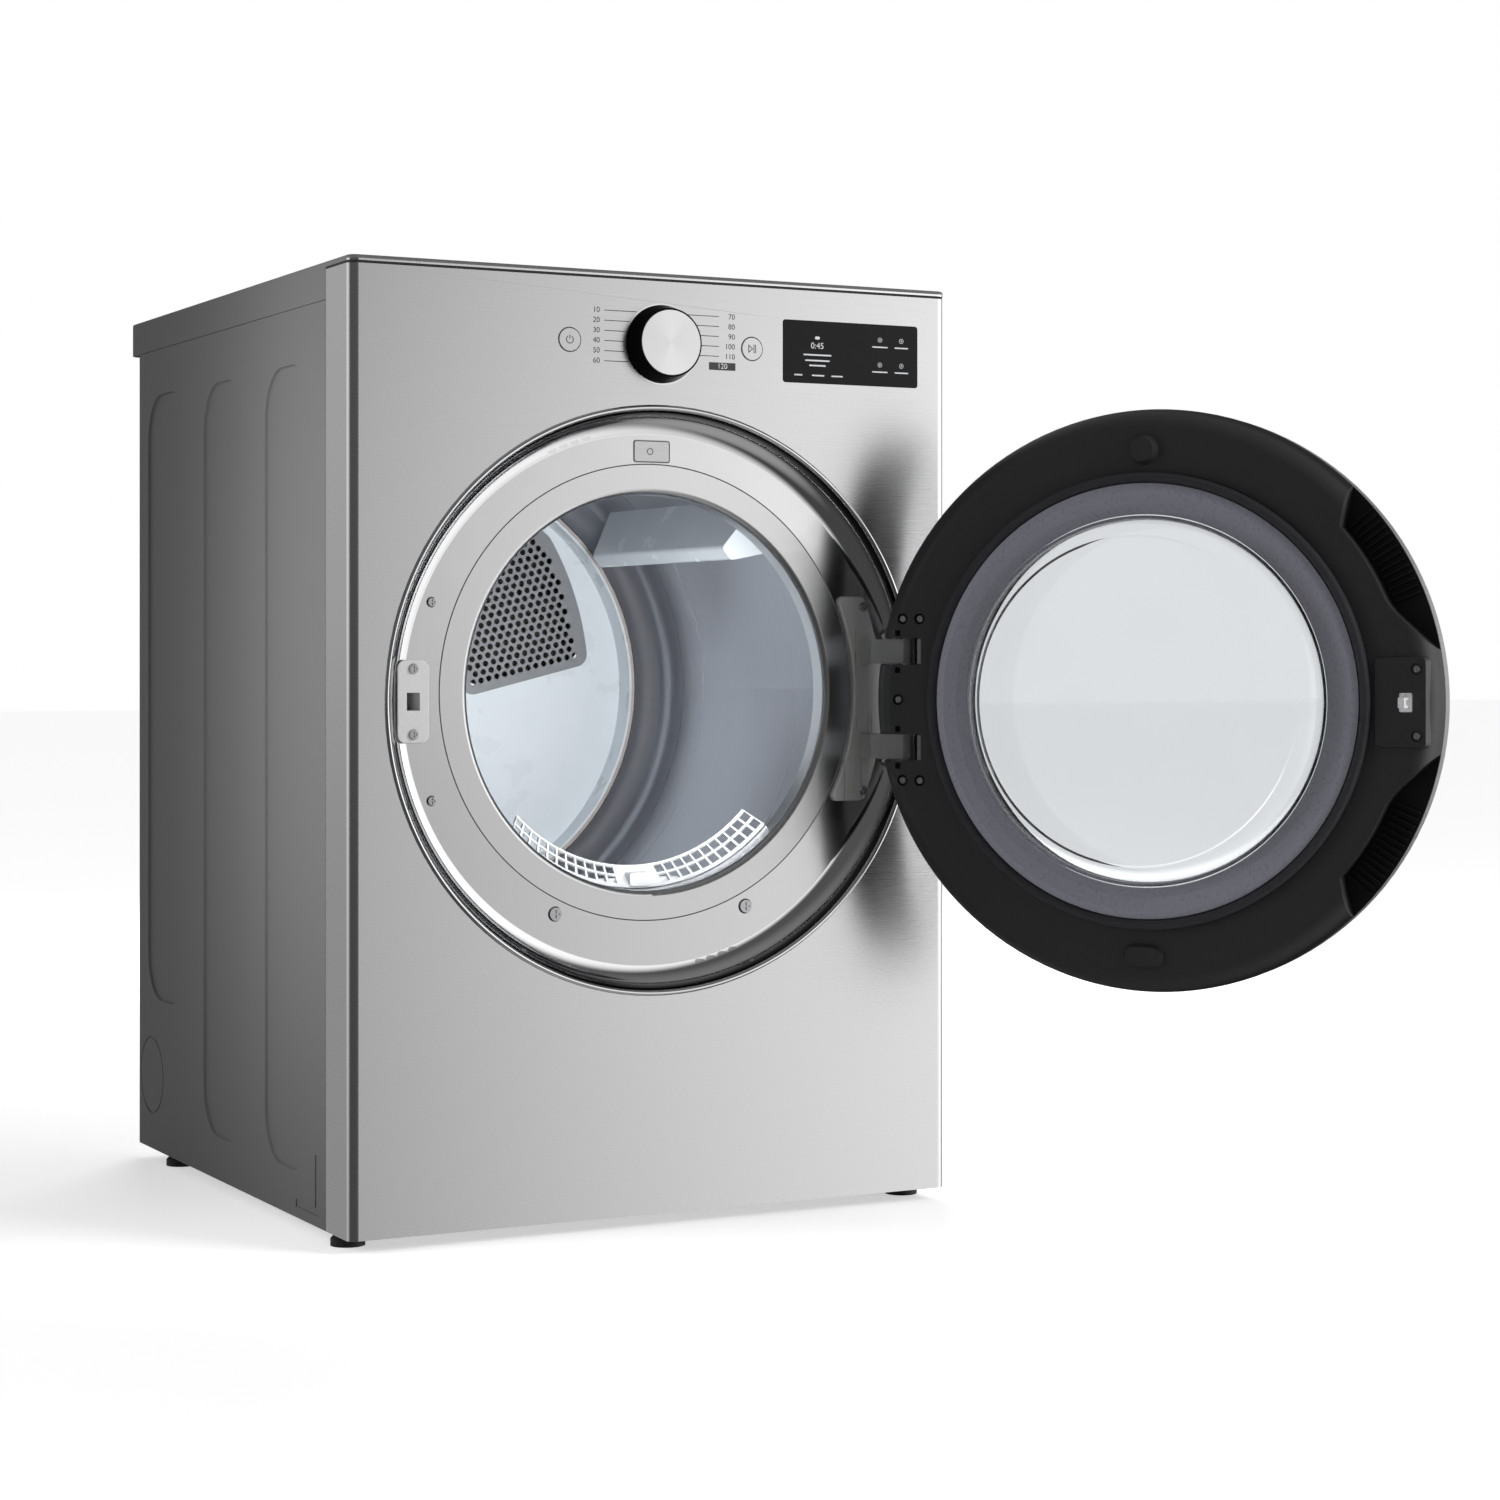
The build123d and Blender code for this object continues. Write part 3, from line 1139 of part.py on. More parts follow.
# Inner frame: a dished ring with hinge slots, finger pockets, bumpers and the latch pad
with BuildPart() as door_inner_frame:
    with BuildSketch(door_section):
        with BuildLine():
            rim = EllipticalCenterArc((frame_face_radius, door_split), door_radius - frame_face_radius,
                                      door_split + frame_face, 270, arc_size=90)
            inside = EllipticalCenterArc((frame_face_radius, door_split), frame_in_radius - frame_face_radius,
                                         door_split + frame_face - door_wall, 270, arc_size=90)
            Line(rim @ 1, inside @ 1)
            Polyline(inside @ 0, (frame_inner + door_wall, door_wall - frame_face),
                     (frame_inner + door_wall, ledge_out + door_wall),
                     (frame_ledge, ledge_out + door_wall), (frame_ledge, ledge_out),
                     (frame_inner, ledge_out), (frame_inner, -frame_face), rim @ 0)
        make_face()
    revolve(axis=door_axis)
    with BuildSketch(door_section):
        with BuildLine():
            solid_rim = EllipticalCenterArc((frame_face_radius, door_split), door_radius - frame_face_radius,
                                            door_split + frame_face, 270, arc_size=90)
            Polyline(solid_rim @ 1, (pocket_radius - pocket_wall - 12.0, door_split),
                     (pocket_radius - pocket_wall - 12.0, -frame_face), solid_rim @ 0)
        make_face()
    pocket_ring = revolve(axis=door_axis, mode=Mode.PRIVATE)
    for half in (-1, 1):
        block = extrude(pocket_outline(door_face(door_split), half, pocket_wall),
                        amount=-door_split - frame_face, mode=Mode.PRIVATE)
        add(block & pocket_ring)
        extrude(pocket_outline(door_face(door_split - door_wall), half, 0.0),
                amount=-door_split - 2 * frame_face, mode=Mode.SUBTRACT)
        rib_turn = (pocket_end - pocket_start - pocket_lead - 5.0) / pocket_ribs
        for rib in range(pocket_ribs):
            bearing = 180.0 - half * (pocket_start + pocket_lead + (rib + 0.5) * rib_turn)
            turn = math.radians(bearing)
            reach = (pocket_radius + door_radius) / 2
            place = Location((reach * math.cos(turn), reach * math.sin(turn), 0), (0, 0, bearing))
            with BuildSketch(door_face(door_split - door_wall)):
                with Locations(place):
                    Rectangle(door_radius - pocket_radius - 6.0, 2.0)
            extrude(amount=-5.0)
    for row in arm_rows:
        extrude(span_on(door_face(door_split), slot_inner, door_radius + 10.0, row - slot_height / 2,
                        row + slot_height / 2), amount=-door_split - 2 * frame_face, mode=Mode.SUBTRACT)
    extrude(disc_on(door_face(-frame_face), 0, bumper_top, bumper_radius + 3.0), amount=-bumper_height,
            taper=25)
    extrude(rectangle_on(door_face(-frame_face), 0, -bumper_bottom, 42.0, 25.0, 12.0),
            amount=-bumper_height + 2.0, taper=25)
    extrude(span_on(door_face(pad_root - frame_face), -pad_outer, -pad_inner, -pad_half_height,
                    pad_half_height, 8.0), amount=-pad_root - pad_rise, taper=15)
    extrude(rectangle_on(door_face(-frame_face - pad_rise), seat_x, 0, 14.0, 20.0, 2.0), amount=4.0,
            mode=Mode.SUBTRACT)
    for hole_x, hole_y in hinge_screws:
        extrude(disc_on(door_face(-frame_face), hole_x, hole_y, door_recess), amount=recess_depth,
                mode=Mode.SUBTRACT)
    for hole_y in (70.0, 31.0, -31.0, -70.0):
        extrude(rectangle_on(door_face(-frame_face), 268.0, hole_y, 6.0, 6.0), amount=1.5,
                mode=Mode.SUBTRACT)
    for hole_y in (33.0, -33.0):
        extrude(disc_on(door_face(-frame_face - pad_rise), seat_x - 11.0, hole_y, door_recess),
                amount=recess_depth, mode=Mode.SUBTRACT)
write(door_inner_frame.part, "door_inner_frame")

# Outer cover: a rounded ring that holds the front window
cover_rim = door_split + fit_gap
with BuildPart() as door_outer_cover:
    round_start = door_front - 19.0
    with BuildSketch(door_section):
        with BuildLine():
            shoulder = ThreePointArc((door_radius, round_start), (door_radius - 5.0, door_front - 6.0),
                                     (door_radius - 18.0, door_front))
            lining = ThreePointArc((door_radius - 18.0, door_front - door_wall),
                                   (door_radius - 5.0 - door_wall * 0.7, door_front - 6.0 - door_wall * 0.7),
                                   (door_radius - door_wall, round_start))
            Line((door_radius, cover_rim), shoulder @ 0)
            Polyline(shoulder @ 1, (window_radius, door_front), (window_radius, door_front - window_thickness - 1.0),
                     (window_radius - 12.0, door_front - window_thickness - 1.0),
                     (window_radius - 12.0, door_front - window_thickness - 1.0 - door_wall),
                     (window_radius + door_wall, door_front - window_thickness - 1.0 - door_wall),
                     (window_radius + door_wall, door_front - door_wall), lining @ 0)
            Polyline(lining @ 1, (door_radius - door_wall, cover_rim), (door_radius, cover_rim))
        make_face()
    revolve(axis=door_axis)
    for row in arm_rows:
        extrude(span_on(door_face(slot_out), slot_inner, door_radius + 10.0, row - slot_height / 2,
                        row + slot_height / 2), amount=-slot_out, mode=Mode.SUBTRACT)
write(door_outer_cover.part, "door_outer_cover")

with BuildPart() as door_window:
    extrude(disc_on(door_face(door_front - window_thickness - 1.0), 0, 0, window_radius - fit_gap),
            amount=window_thickness)
    fillet(door_window.faces().sort_by(Axis(door_centre, door_out))[-1].edges(), radius=1.5)
write(door_window.part, "door_window")

# Glass bowl, its retaining ring and the rubber gasket around it
flange_in = ledge_out - bowl_glass
bowl_floor = flange_in - bowl_depth
with BuildPart() as door_bowl:
    with BuildSketch(door_section):
        with BuildLine():
            flange_outer = frame_inner - gasket_width - 4.0
            side = ThreePointArc((bowl_radius, flange_in), (bowl_radius - 6.0, flange_in - bowl_depth * 0.62),
                                 (bowl_floor_radius, bowl_floor))
            hollow = ThreePointArc((bowl_floor_radius - 2.0, bowl_floor + bowl_glass),
                                   (bowl_radius - 6.0 - bowl_glass, flange_in - bowl_depth * 0.58),
                                   (bowl_radius - bowl_glass, ledge_out))
            Polyline(side @ 1, (0, bowl_floor), (0, bowl_floor + bowl_glass), hollow @ 0)
            Polyline(hollow @ 1, (flange_outer, ledge_out), (flange_outer, flange_in), side @ 0)
        make_face()
    revolve(axis=door_axis)
write(door_bowl.part, "door_bowl")

with BuildPart() as bowl_ring:
    ring_outer = frame_inner - gasket_width - 1.0 - fit_gap
    ring_inner = bowl_radius + 1.0
    with BuildSketch(door_section):
        with BuildLine():
            Polyline((ring_outer, flange_in), (ring_outer, flange_in - 4.0), (ring_outer - 8.0, flange_in - 6.5),
                     (ring_inner + 10.0, flange_in - 5.0), (ring_inner, flange_in - 2.0),
                     (ring_inner, flange_in), close=True)
        make_face()
    revolve(axis=door_axis)
write(bowl_ring.part, "bowl_ring")

with BuildPart() as door_gasket:
    lip_out = fit_gap - well_depth
    with BuildSketch(door_section):
        with BuildLine():
            gasket_outer = frame_inner - fit_gap
            gasket_inner = gasket_outer - gasket_width
            crown = ThreePointArc((gasket_outer, lip_out + 4.0), (gasket_outer - gasket_width / 2, lip_out),
                                  (gasket_inner, lip_out + 4.0))
            Polyline(crown @ 1, (gasket_inner, ledge_out), (gasket_outer, ledge_out), crown @ 0)
        make_face()
    revolve(axis=door_axis)
write(door_gasket.part, "door_gasket")

# Hinge block inside the door, the two pins that the arms turn on and the plates that end the slots
block_edge = hinge_x + knuckle_radius - 2.0
block_half = arm_offset + slot_height / 2 + 6.0
with BuildPart() as door_hinge_block:
    extrude(span_on(door_face(0.0), frame_inner + door_wall + 1.0, hinge_x - 5.0, -block_half, block_half),
            amount=door_wall - frame_face)
    extrude(span_on(door_face(slot_out - 4.0), frame_inner + door_wall + 1.0, block_edge, -block_half,
                    block_half), amount=-slot_out + 4.0)
    for row in arm_rows:
        extrude(span_on(door_face(slot_out), slot_inner, door_radius, row - slot_height / 2,
                        row + slot_height / 2), amount=-slot_out - frame_face, mode=Mode.SUBTRACT)
    with BuildSketch(level(well_z - block_half)):
        with Locations((hinge_x, hinge_y)):
            Circle(pin_radius)
    extrude(amount=2 * block_half, mode=Mode.SUBTRACT)
write(door_hinge_block.part, "door_hinge_block")

with BuildPart() as door_hinge_pins:
    pin_length = slot_height + 16.0
    for row in arm_rows:
        pin_low = row - slot_height / 2 - 10.0 if row > 0 else row - slot_height / 2 - 6.0
        with BuildSketch(level(well_z + pin_low)):
            with Locations((hinge_x, hinge_y)):
                Circle(pin_radius)
        extrude(amount=pin_length)
        extrude(span_on(door_face(-fit_gap), slot_inner, slot_inner + slot_plate, row - arm_height / 2,
                        row + arm_height / 2), amount=door_wall - frame_face + 2 * fit_gap)
write(door_hinge_pins.part, "door_hinge_pins")

# Striker hook on the latch pad, and the screws that show on the inner frame
with BuildPart() as door_striker:
    extrude(rectangle_on(door_face(-frame_face - pad_rise + 4.0), seat_x, 0, 13.0, 19.0, 1.5), amount=-3.0)
    extrude(rectangle_on(door_face(-frame_face - pad_rise + 1.0), seat_x, 0, 6.0, 10.0), amount=-striker_length)
    extrude(rectangle_on(door_face(-frame_face - pad_rise + 1.0), seat_x, 0, 8.0, 5.0),
            amount=-striker_length + 10.0, mode=Mode.SUBTRACT)
write(door_striker.part, "door_striker")

with BuildPart() as door_screws:
    for hole_x, hole_y in hinge_screws:
        screw_head_at(door_inside(recess_depth - frame_face), hole_x, -hole_y, door_screw_radius,
                      door_screw_head)
    for hole_y in (33.0, -33.0):
        screw_head_at(door_inside(recess_depth - frame_face - pad_rise), seat_x - 11.0, -hole_y,
                      door_screw_radius, door_screw_head)
write(door_screws.part, "door_screws")
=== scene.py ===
import bpy
import bmesh
import math
from mathutils import Vector, Matrix


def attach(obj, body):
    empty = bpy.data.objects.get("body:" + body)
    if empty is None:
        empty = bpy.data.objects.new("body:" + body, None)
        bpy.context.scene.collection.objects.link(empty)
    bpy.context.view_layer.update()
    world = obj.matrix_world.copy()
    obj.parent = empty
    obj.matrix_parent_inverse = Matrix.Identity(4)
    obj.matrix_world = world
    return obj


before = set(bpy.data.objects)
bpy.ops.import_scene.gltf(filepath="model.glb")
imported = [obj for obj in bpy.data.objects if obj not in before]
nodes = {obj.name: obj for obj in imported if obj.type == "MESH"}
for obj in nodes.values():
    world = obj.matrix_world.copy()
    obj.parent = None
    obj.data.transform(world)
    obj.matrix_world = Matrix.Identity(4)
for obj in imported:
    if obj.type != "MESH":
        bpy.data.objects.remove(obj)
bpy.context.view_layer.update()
scene = bpy.context.scene
scene.view_settings.view_transform = "Standard"

# Places of the dryer in millimetres: x to the right as seen from the front, y to the rear, z up
MM = 0.001
FRONT_Y = -336.0
HALF_WIDTH = 343.0
WELL_Z = 545.3
OPENING_Z = 553.3
CONTROL_Z = 914.0
KNOB_RADIUS = 40.5
BUTTON_X = 105.0
DISPLAY_X = 224.6
DISPLAY_WIDTH = 165.0
DISPLAY_HEIGHT = 66.0
LAMP_Z = WELL_Z + 259.0
# The open door: its middle, the way from there to the hinge and the way to its outer cover
DOOR_CENTRE = Vector((422.03, -602.31, WELL_Z)) * MM
DOOR_X = Vector((-0.6239, 0.7815, 0.0))
DOOR_OUT = Vector((0.7815, 0.6239, 0.0))


def plane_at(place, across, square):
    """Frame of an upright plane: x runs across it, y square to it and z up."""
    return Matrix.Translation(place) @ Matrix((across, square, (0, 0, 1))).transposed().to_4x4()


FRONT_PLANE = Matrix.Translation((0, FRONT_Y * MM, 0))
DOOR_PLANE = plane_at(DOOR_CENTRE, DOOR_X, -DOOR_OUT)
SLOT_PLANE = plane_at(DOOR_CENTRE, DOOR_OUT, DOOR_X)

# Colour sockets of a Mix node
MIX_A, MIX_B, MIX_RESULT = 6, 7, 2


def add_node(tree, kind, inputs, **settings):
    """Shader node with its settings, and with each input set to a value or fed by another node's output."""
    node = tree.nodes.new("ShaderNode" + kind)
    for setting, value in settings.items():
        setattr(node, setting, value)
    for socket, value in inputs.items():
        if isinstance(value, bpy.types.NodeSocket):
            tree.links.new(value, node.inputs[socket])
        else:
            node.inputs[socket].default_value = value
    return node


def combine(tree, operation, first, second, clamp=False):
    """Output of a Math node on two values or sockets."""
    node = add_node(tree, "Math", {0: first, 1: second}, operation=operation, use_clamp=clamp)
    return node.outputs["Value"]


def grey(level):
    return (level, level, level, 1)


# Materials: every one has a grain that changes its colour and roughness a little
GRAIN_LOW, GRAIN_HIGH = 0.28, 0.72
BRUSHED = (9, 9, 1500)


def surface(name, colour, rough, metal=0.0, grain=60, tint=0.06, spread=0.05, bump=0.0, relief=0.2,
            detail=4.0, **sockets):
    """Material with an even grain, or a stretched one where three numbers are given, and relief in mm."""
    material = bpy.data.materials.new(name)
    material.use_nodes = True
    tree = material.node_tree
    shader = tree.nodes["Principled BSDF"]
    shader.inputs["Metallic"].default_value = metal
    for socket, value in sockets.items():
        shader.inputs[socket.replace("_", " ")].default_value = value
    scale = grain if isinstance(grain, tuple) else (grain, grain, grain)
    place = add_node(tree, "TexCoord", {})
    stretch = add_node(tree, "Mapping", {"Vector": place.outputs["Object"], "Scale": scale})
    noise = add_node(tree, "TexNoise", {"Vector": stretch.outputs["Vector"], "Scale": 1.0, "Detail": detail})
    height = noise.outputs["Fac"]
    ramp = add_node(tree, "ValToRGB", {"Fac": height})
    stops = ((GRAIN_LOW, 1 - tint), (GRAIN_HIGH, 1 + tint))
    for element, (position, gain) in zip(ramp.color_ramp.elements, stops):
        element.position = position
        element.color = [min(1.0, c * gain) for c in colour] + [1.0]
    level = add_node(tree, "MapRange", {"Value": height, "From Min": GRAIN_LOW, "From Max": GRAIN_HIGH,
                                        "To Min": max(0.0, rough - spread), "To Max": rough + spread})
    tree.links.new(ramp.outputs["Color"], shader.inputs["Base Color"])
    tree.links.new(level.outputs["Result"], shader.inputs["Roughness"])
    if bump:
        rise = add_node(tree, "Bump", {"Height": height, "Strength": bump, "Distance": relief * MM})
        tree.links.new(rise.outputs["Normal"], shader.inputs["Normal"])
    return material


def glass(name, colour, rough):
    return surface(name, colour, rough, grain=9, tint=0.01, spread=0.004, IOR=1.45, Transmission_Weight=1.0)


# Metals
stainless = surface("stainless_brushed", (0.70, 0.70, 0.705), 0.27, 1.0, grain=BRUSHED, tint=0.012,
                    spread=0.02, detail=3.0, Anisotropic=0.55, Anisotropic_Rotation=0.25)
ring_steel = surface("ring_steel", (0.70, 0.70, 0.705), 0.25, 1.0, grain=BRUSHED, tint=0.012,
                     spread=0.02, detail=3.0, Anisotropic=0.4)
well_steel = surface("well_steel", (0.64, 0.64, 0.645), 0.17, 1.0, grain=40, tint=0.010, spread=0.02)
liner_steel = surface("liner_steel", (0.74, 0.74, 0.745), 0.08, 1.0, grain=30, tint=0.010, spread=0.015,
                      Specular_Tint=grey(0.35))
drum_steel = surface("drum_steel", (0.44, 0.45, 0.49), 0.30, 0.85, grain=(0.3, 90, 0.3), tint=0.035,
                     spread=0.04)
dark_cover = surface("door_cover_metal", (0.42, 0.42, 0.43), 0.40, 0.7, grain=(4, 4, 700), tint=0.05)
bright = surface("bright_steel", (0.72, 0.72, 0.73), 0.16, 1.0, grain=200, tint=0.05)
zinc = surface("zinc_sheet", (0.56, 0.57, 0.58), 0.42, 0.35, grain=30, tint=0.10, spread=0.08)
zinc_bright = surface("zinc_bright", (0.86, 0.86, 0.87), 0.30, 0.2, grain=200, tint=0.04)
screw_steel = surface("screw_steel", (0.50, 0.50, 0.51), 0.24, 1.0, grain=300, tint=0.08, spread=0.06)
screw_zinc = surface("screw_zinc", (0.42, 0.42, 0.43), 0.28, 0.7, grain=300, tint=0.10)
hinge_steel = surface("hinge_steel", (0.29, 0.29, 0.285), 0.32, 0.6, grain=(250, 250, 8), spread=0.06)
grille_grey = surface("grille_grey", (0.27, 0.28, 0.295), 0.36, 0.2, grain=90, tint=0.05)
heat_dark = surface("heating_bar", (0.08, 0.07, 0.065), 0.55, 0.5, grain=90, tint=0.20, spread=0.10)
knob_spun = surface("knob_spun_metal", (0.80, 0.80, 0.80), 0.24, 1.0, grain=3, tint=0.02, spread=0.03,
                    Anisotropic=0.85)

# Paint, plastic, rubber, felt and glass
graphite = surface("graphite_paint", (0.14, 0.14, 0.142), 0.50, grain=500, tint=0.05, spread=0.04,
                   Specular_IOR_Level=0.15)
motor_paint = surface("motor_paint", (0.06, 0.065, 0.07), 0.40, 0.4, tint=0.10, spread=0.06)
wall_white = surface("wall_enamel", (0.64, 0.69, 0.73), 0.30, grain=25, tint=0.02)
lifter_blue = surface("lifter_plastic", (0.74, 0.80, 0.85), 0.25, grain=20, tint=0.03, spread=0.04)
filter_white = surface("filter_plastic", (0.48, 0.50, 0.52), 0.45, grain=200, tint=0.03)
charcoal = surface("charcoal_plastic", (0.027, 0.027, 0.0275), 0.46, grain=1500, tint=0.10, spread=0.06,
                   bump=0.08, relief=0.1)
ring_grey = surface("bowl_ring_plastic", (0.26, 0.26, 0.31), 0.30, grain=300, tint=0.05)
catch_grey = surface("catch_plastic", (0.72, 0.72, 0.72), 0.42, grain=500, tint=0.04, bump=0.08)
lens_white = surface("lamp_lens", (0.56, 0.56, 0.56), 0.24, 0.6, grain=120, tint=0.03)
knob_black = surface("knob_black", (0.004, 0.004, 0.004), 0.16, grain=80, tint=0.10, spread=0.03, IOR=1.2,
                     Specular_IOR_Level=0.12)
display_black = surface("display_black", (0.010, 0.010, 0.011), 0.20, tint=0.08, spread=0.03,
                        Specular_IOR_Level=0.12)
inner_grey = surface("inner_plastic", (0.45, 0.45, 0.46), 0.50, grain=200, spread=0.06)
gasket_rubber = surface("gasket_rubber", (0.03, 0.03, 0.035), 0.62, grain=400, tint=0.12, spread=0.06)
foot_rubber = surface("foot_rubber", (0.02, 0.02, 0.021), 0.65, grain=500, tint=0.20, spread=0.08, bump=0.2)
felt = surface("felt", (0.42, 0.40, 0.38), 0.85, grain=700, tint=0.20, spread=0.08, bump=0.5, relief=0.6)
print_dark = surface("print_dark", (0.05, 0.05, 0.05), 0.50, grain=900, tint=0.10)
print_pale = surface("print_pale", (0.72, 0.74, 0.76), 0.50, grain=900, tint=0.04)
bowl_glass = glass("bowl_glass", (0.90, 0.915, 0.925), 0.01)
window_glass = glass("window_glass", (0.82, 0.83, 0.84), 0.03)

finishes = {
    stainless: ("front_panel", "power_button", "start_button"),
    ring_steel: ("door_opening_ring",),
    well_steel: ("door_well",),
    graphite: ("side_panel_left", "side_panel_right", "top_cover"),
    zinc: ("rear_panel", "base_pan", "cross_brace", "front_bulkhead", "exhaust_duct", "motor_bracket",
           "terminal_cover", "exhaust_collar", "idler_arm"),
    wall_white: ("rear_bulkhead",),
    grille_grey: ("rear_air_grille",),
    drum_steel: ("drum_shell",),
    lifter_blue: ("lifters",),
    filter_white: ("lint_filter",),
    charcoal: ("door_inner_frame",),
    dark_cover: ("door_outer_cover",),
    ring_grey: ("bowl_ring",),
    gasket_rubber: ("door_gasket", "drive_belt", "roller_left", "roller_right"),
    foot_rubber: ("foot_front_left", "foot_front_right", "foot_rear_left", "foot_rear_right"),
    zinc_bright: ("door_striker",),
    bright: ("door_hinge_pins", "roller_axles", "motor_shaft"),
    screw_steel: ("well_screws",),
    screw_zinc: ("door_screws",),
    hinge_steel: ("hinge_plate", "door_hinge_block"),
    catch_grey: ("latch_catch",),
    lens_white: ("drum_lamp",),
    knob_black: ("knob_body",),
    knob_spun: ("knob_face",),
    display_black: ("display_window",),
    inner_grey: ("blower_housing", "blower_wheel", "lint_duct", "control_housing", "control_box", "encoder",
                 "terminal_block", "idler_pulley"),
    motor_paint: ("motor",),
    felt: ("drum_seals",),
    heat_dark: ("heater_element", "heater_housing"),
    bowl_glass: ("door_bowl",),
    window_glass: ("door_window",),
}
for finish, names in finishes.items():
    for name in names:
        nodes[name].data.materials.clear()
        nodes[name].data.materials.append(finish)


def spin_finish(material):
    """The metal is spun about the axis of the knob."""
    tree = material.node_tree
    turned = add_node(tree, "Tangent", {}, direction_type="RADIAL", axis="Y")
    tree.links.new(turned.outputs["Tangent"], tree.nodes["Principled BSDF"].inputs["Tangent"])


def darken(material, share, colour):
    """Mixes a dark colour into a material by a share, for painted shade."""
    tree = material.node_tree
    paint = tree.nodes["Color Ramp"].outputs["Color"]
    mix = add_node(tree, "Mix", {"Factor": share, MIX_A: paint, MIX_B: colour}, data_type="RGBA")
    tree.links.new(mix.outputs[MIX_RESULT], tree.nodes["Principled BSDF"].inputs["Base Color"])


def shade_pockets(material, node, first, last, colour):
    """Painted shade: the door's finger pockets are darkened with depth, between two depths from the door's
    middle.
    """
    tree = material.node_tree
    local = node.matrix_world.inverted()
    inward = (local.to_3x3() @ DOOR_OUT).normalized()
    middle = inward.dot(local @ DOOR_CENTRE)
    place = tree.nodes["Texture Coordinate"].outputs["Object"]
    depth = add_node(tree, "VectorMath", {0: place, 1: inward}, operation="DOT_PRODUCT")
    share = add_node(tree, "MapRange", {"Value": depth.outputs["Value"], "From Min": middle + first * MM,
                                        "From Max": middle + last * MM}, interpolation_type="SMOOTHSTEP")
    darken(material, share.outputs["Result"], colour)


def shade_well(material, first, last, stops, clear, full, strength, colour):
    """Painted shade: the skin of the well is darkened in a band behind its bead, which ends towards the
    latch.
    """
    tree = material.node_tree
    place = add_node(tree, "SeparateXYZ", {0: tree.nodes["Texture Coordinate"].outputs["Object"]})
    depth = add_node(tree, "MapRange", {"Value": place.outputs["Y"], "From Min": (FRONT_Y + first) * MM,
                                        "From Max": (FRONT_Y + last) * MM})
    band = add_node(tree, "ValToRGB", {"Fac": depth.outputs["Result"]})
    elements = band.color_ramp.elements
    for index, (position, level) in enumerate(stops):
        element = elements[index] if index < 2 else elements.new(position)
        element.position = position
        element.color = grey(level)
    side = add_node(tree, "MapRange", {"Value": place.outputs["X"], "From Min": clear * MM,
                                       "From Max": full * MM, "To Max": strength},
                    interpolation_type="SMOOTHSTEP")
    darken(material, combine(tree, "MULTIPLY", band.outputs["Color"], side.outputs["Result"]), colour)


spin_finish(knob_spun)
# Painted shade: the door's finger pockets darken with depth
shade_pockets(charcoal, nodes["door_inner_frame"], first=-4.0, last=8.0, colour=grey(0.004))
# Painted shade: a dark band on the well's skin behind its bead
shade_well(liner_steel, first=-1.7, last=25.0, stops=((0.09, 0.0), (0.14, 1.0), (0.38, 0.95), (0.72, 0.0)),
           clear=-270.0, full=-150.0, strength=0.94, colour=grey(0.02))


# Floor, sky, lamps and camera, in metres
def seen_directly(tree):
    """Kinds of ray, and the share of rays that come from the camera, also through glass."""
    path = add_node(tree, "LightPath", {}).outputs
    return path, combine(tree, "MAXIMUM", path["Is Camera Ray"], path["Is Transmission Ray"])


def studio_floor(half, near, far, near_glow, far_glow, passed):
    """Pale floor with a soft glow that grows from near to far, and that mirror rays pass through."""
    mesh = bpy.data.meshes.new("studio_floor")
    mesh.from_pydata([(-half, -half, 0), (half, -half, 0), (half, half, 0), (-half, half, 0)], [],
                     [(0, 1, 2, 3)])
    floor = bpy.data.objects.new("studio_floor", mesh)
    scene.collection.objects.link(floor)
    material = bpy.data.materials.new("studio_floor")
    material.use_nodes = True
    tree = material.node_tree
    base = tree.nodes["Principled BSDF"]
    base.inputs["Base Color"].default_value = grey(0.92)
    base.inputs["Roughness"].default_value = 0.9
    base.inputs["Specular IOR Level"].default_value = 0.1
    path, seen = seen_directly(tree)
    spot = add_node(tree, "NewGeometry", {})
    away = add_node(tree, "VectorMath", {0: spot.outputs["Position"]}, operation="LENGTH")
    fade = add_node(tree, "MapRange", {"Value": away.outputs["Value"], "From Min": near, "From Max": far,
                                       "To Min": near_glow, "To Max": far_glow},
                    interpolation_type="SMOOTHSTEP")
    strength = combine(tree, "MULTIPLY", seen, fade.outputs["Result"])
    glow = add_node(tree, "Emission", {"Strength": strength})
    lit = add_node(tree, "AddShader", {0: base.outputs["BSDF"], 1: glow.outputs["Emission"]})
    clear = add_node(tree, "BsdfTransparent", {"Color": grey(passed)})
    mirrored = combine(tree, "SUBTRACT", path["Is Glossy Ray"], path["Is Transmission Ray"], clamp=True)
    pick = add_node(tree, "MixShader", {"Fac": mirrored, 1: lit.outputs["Shader"], 2: clear.outputs["BSDF"]})
    tree.links.new(pick.outputs["Shader"], tree.nodes["Material Output"].inputs["Surface"])
    mesh.materials.append(material)


def studio_sky(lobes):
    """White sky with soft patches about directions: outer and inner angle, strength outside and inside."""
    world = bpy.data.worlds.new("studio")
    scene.world = world
    world.use_nodes = True
    tree = world.node_tree
    ahead = add_node(tree, "TexCoord", {}).outputs["Generated"]
    total = 0.0
    for direction, outer, inner, low, high in lobes:
        facing = add_node(tree, "VectorMath", {0: ahead, 1: Vector(direction).normalized()},
                          operation="DOT_PRODUCT")
        lobe = add_node(tree, "MapRange", {"Value": facing.outputs["Value"],
                                           "From Min": math.cos(math.radians(outer)),
                                           "From Max": math.cos(math.radians(inner)),
                                           "To Min": low, "To Max": high}, interpolation_type="SMOOTHSTEP")
        total = combine(tree, "ADD", lobe.outputs["Result"], total)
    seen = seen_directly(tree)[1]
    strength = add_node(tree, "Mix", {"Factor": seen, "A": total, "B": 1.0})
    back = tree.nodes["Background"]
    back.inputs["Color"].default_value = grey(1)
    tree.links.new(strength.outputs["Result"], back.inputs["Strength"])


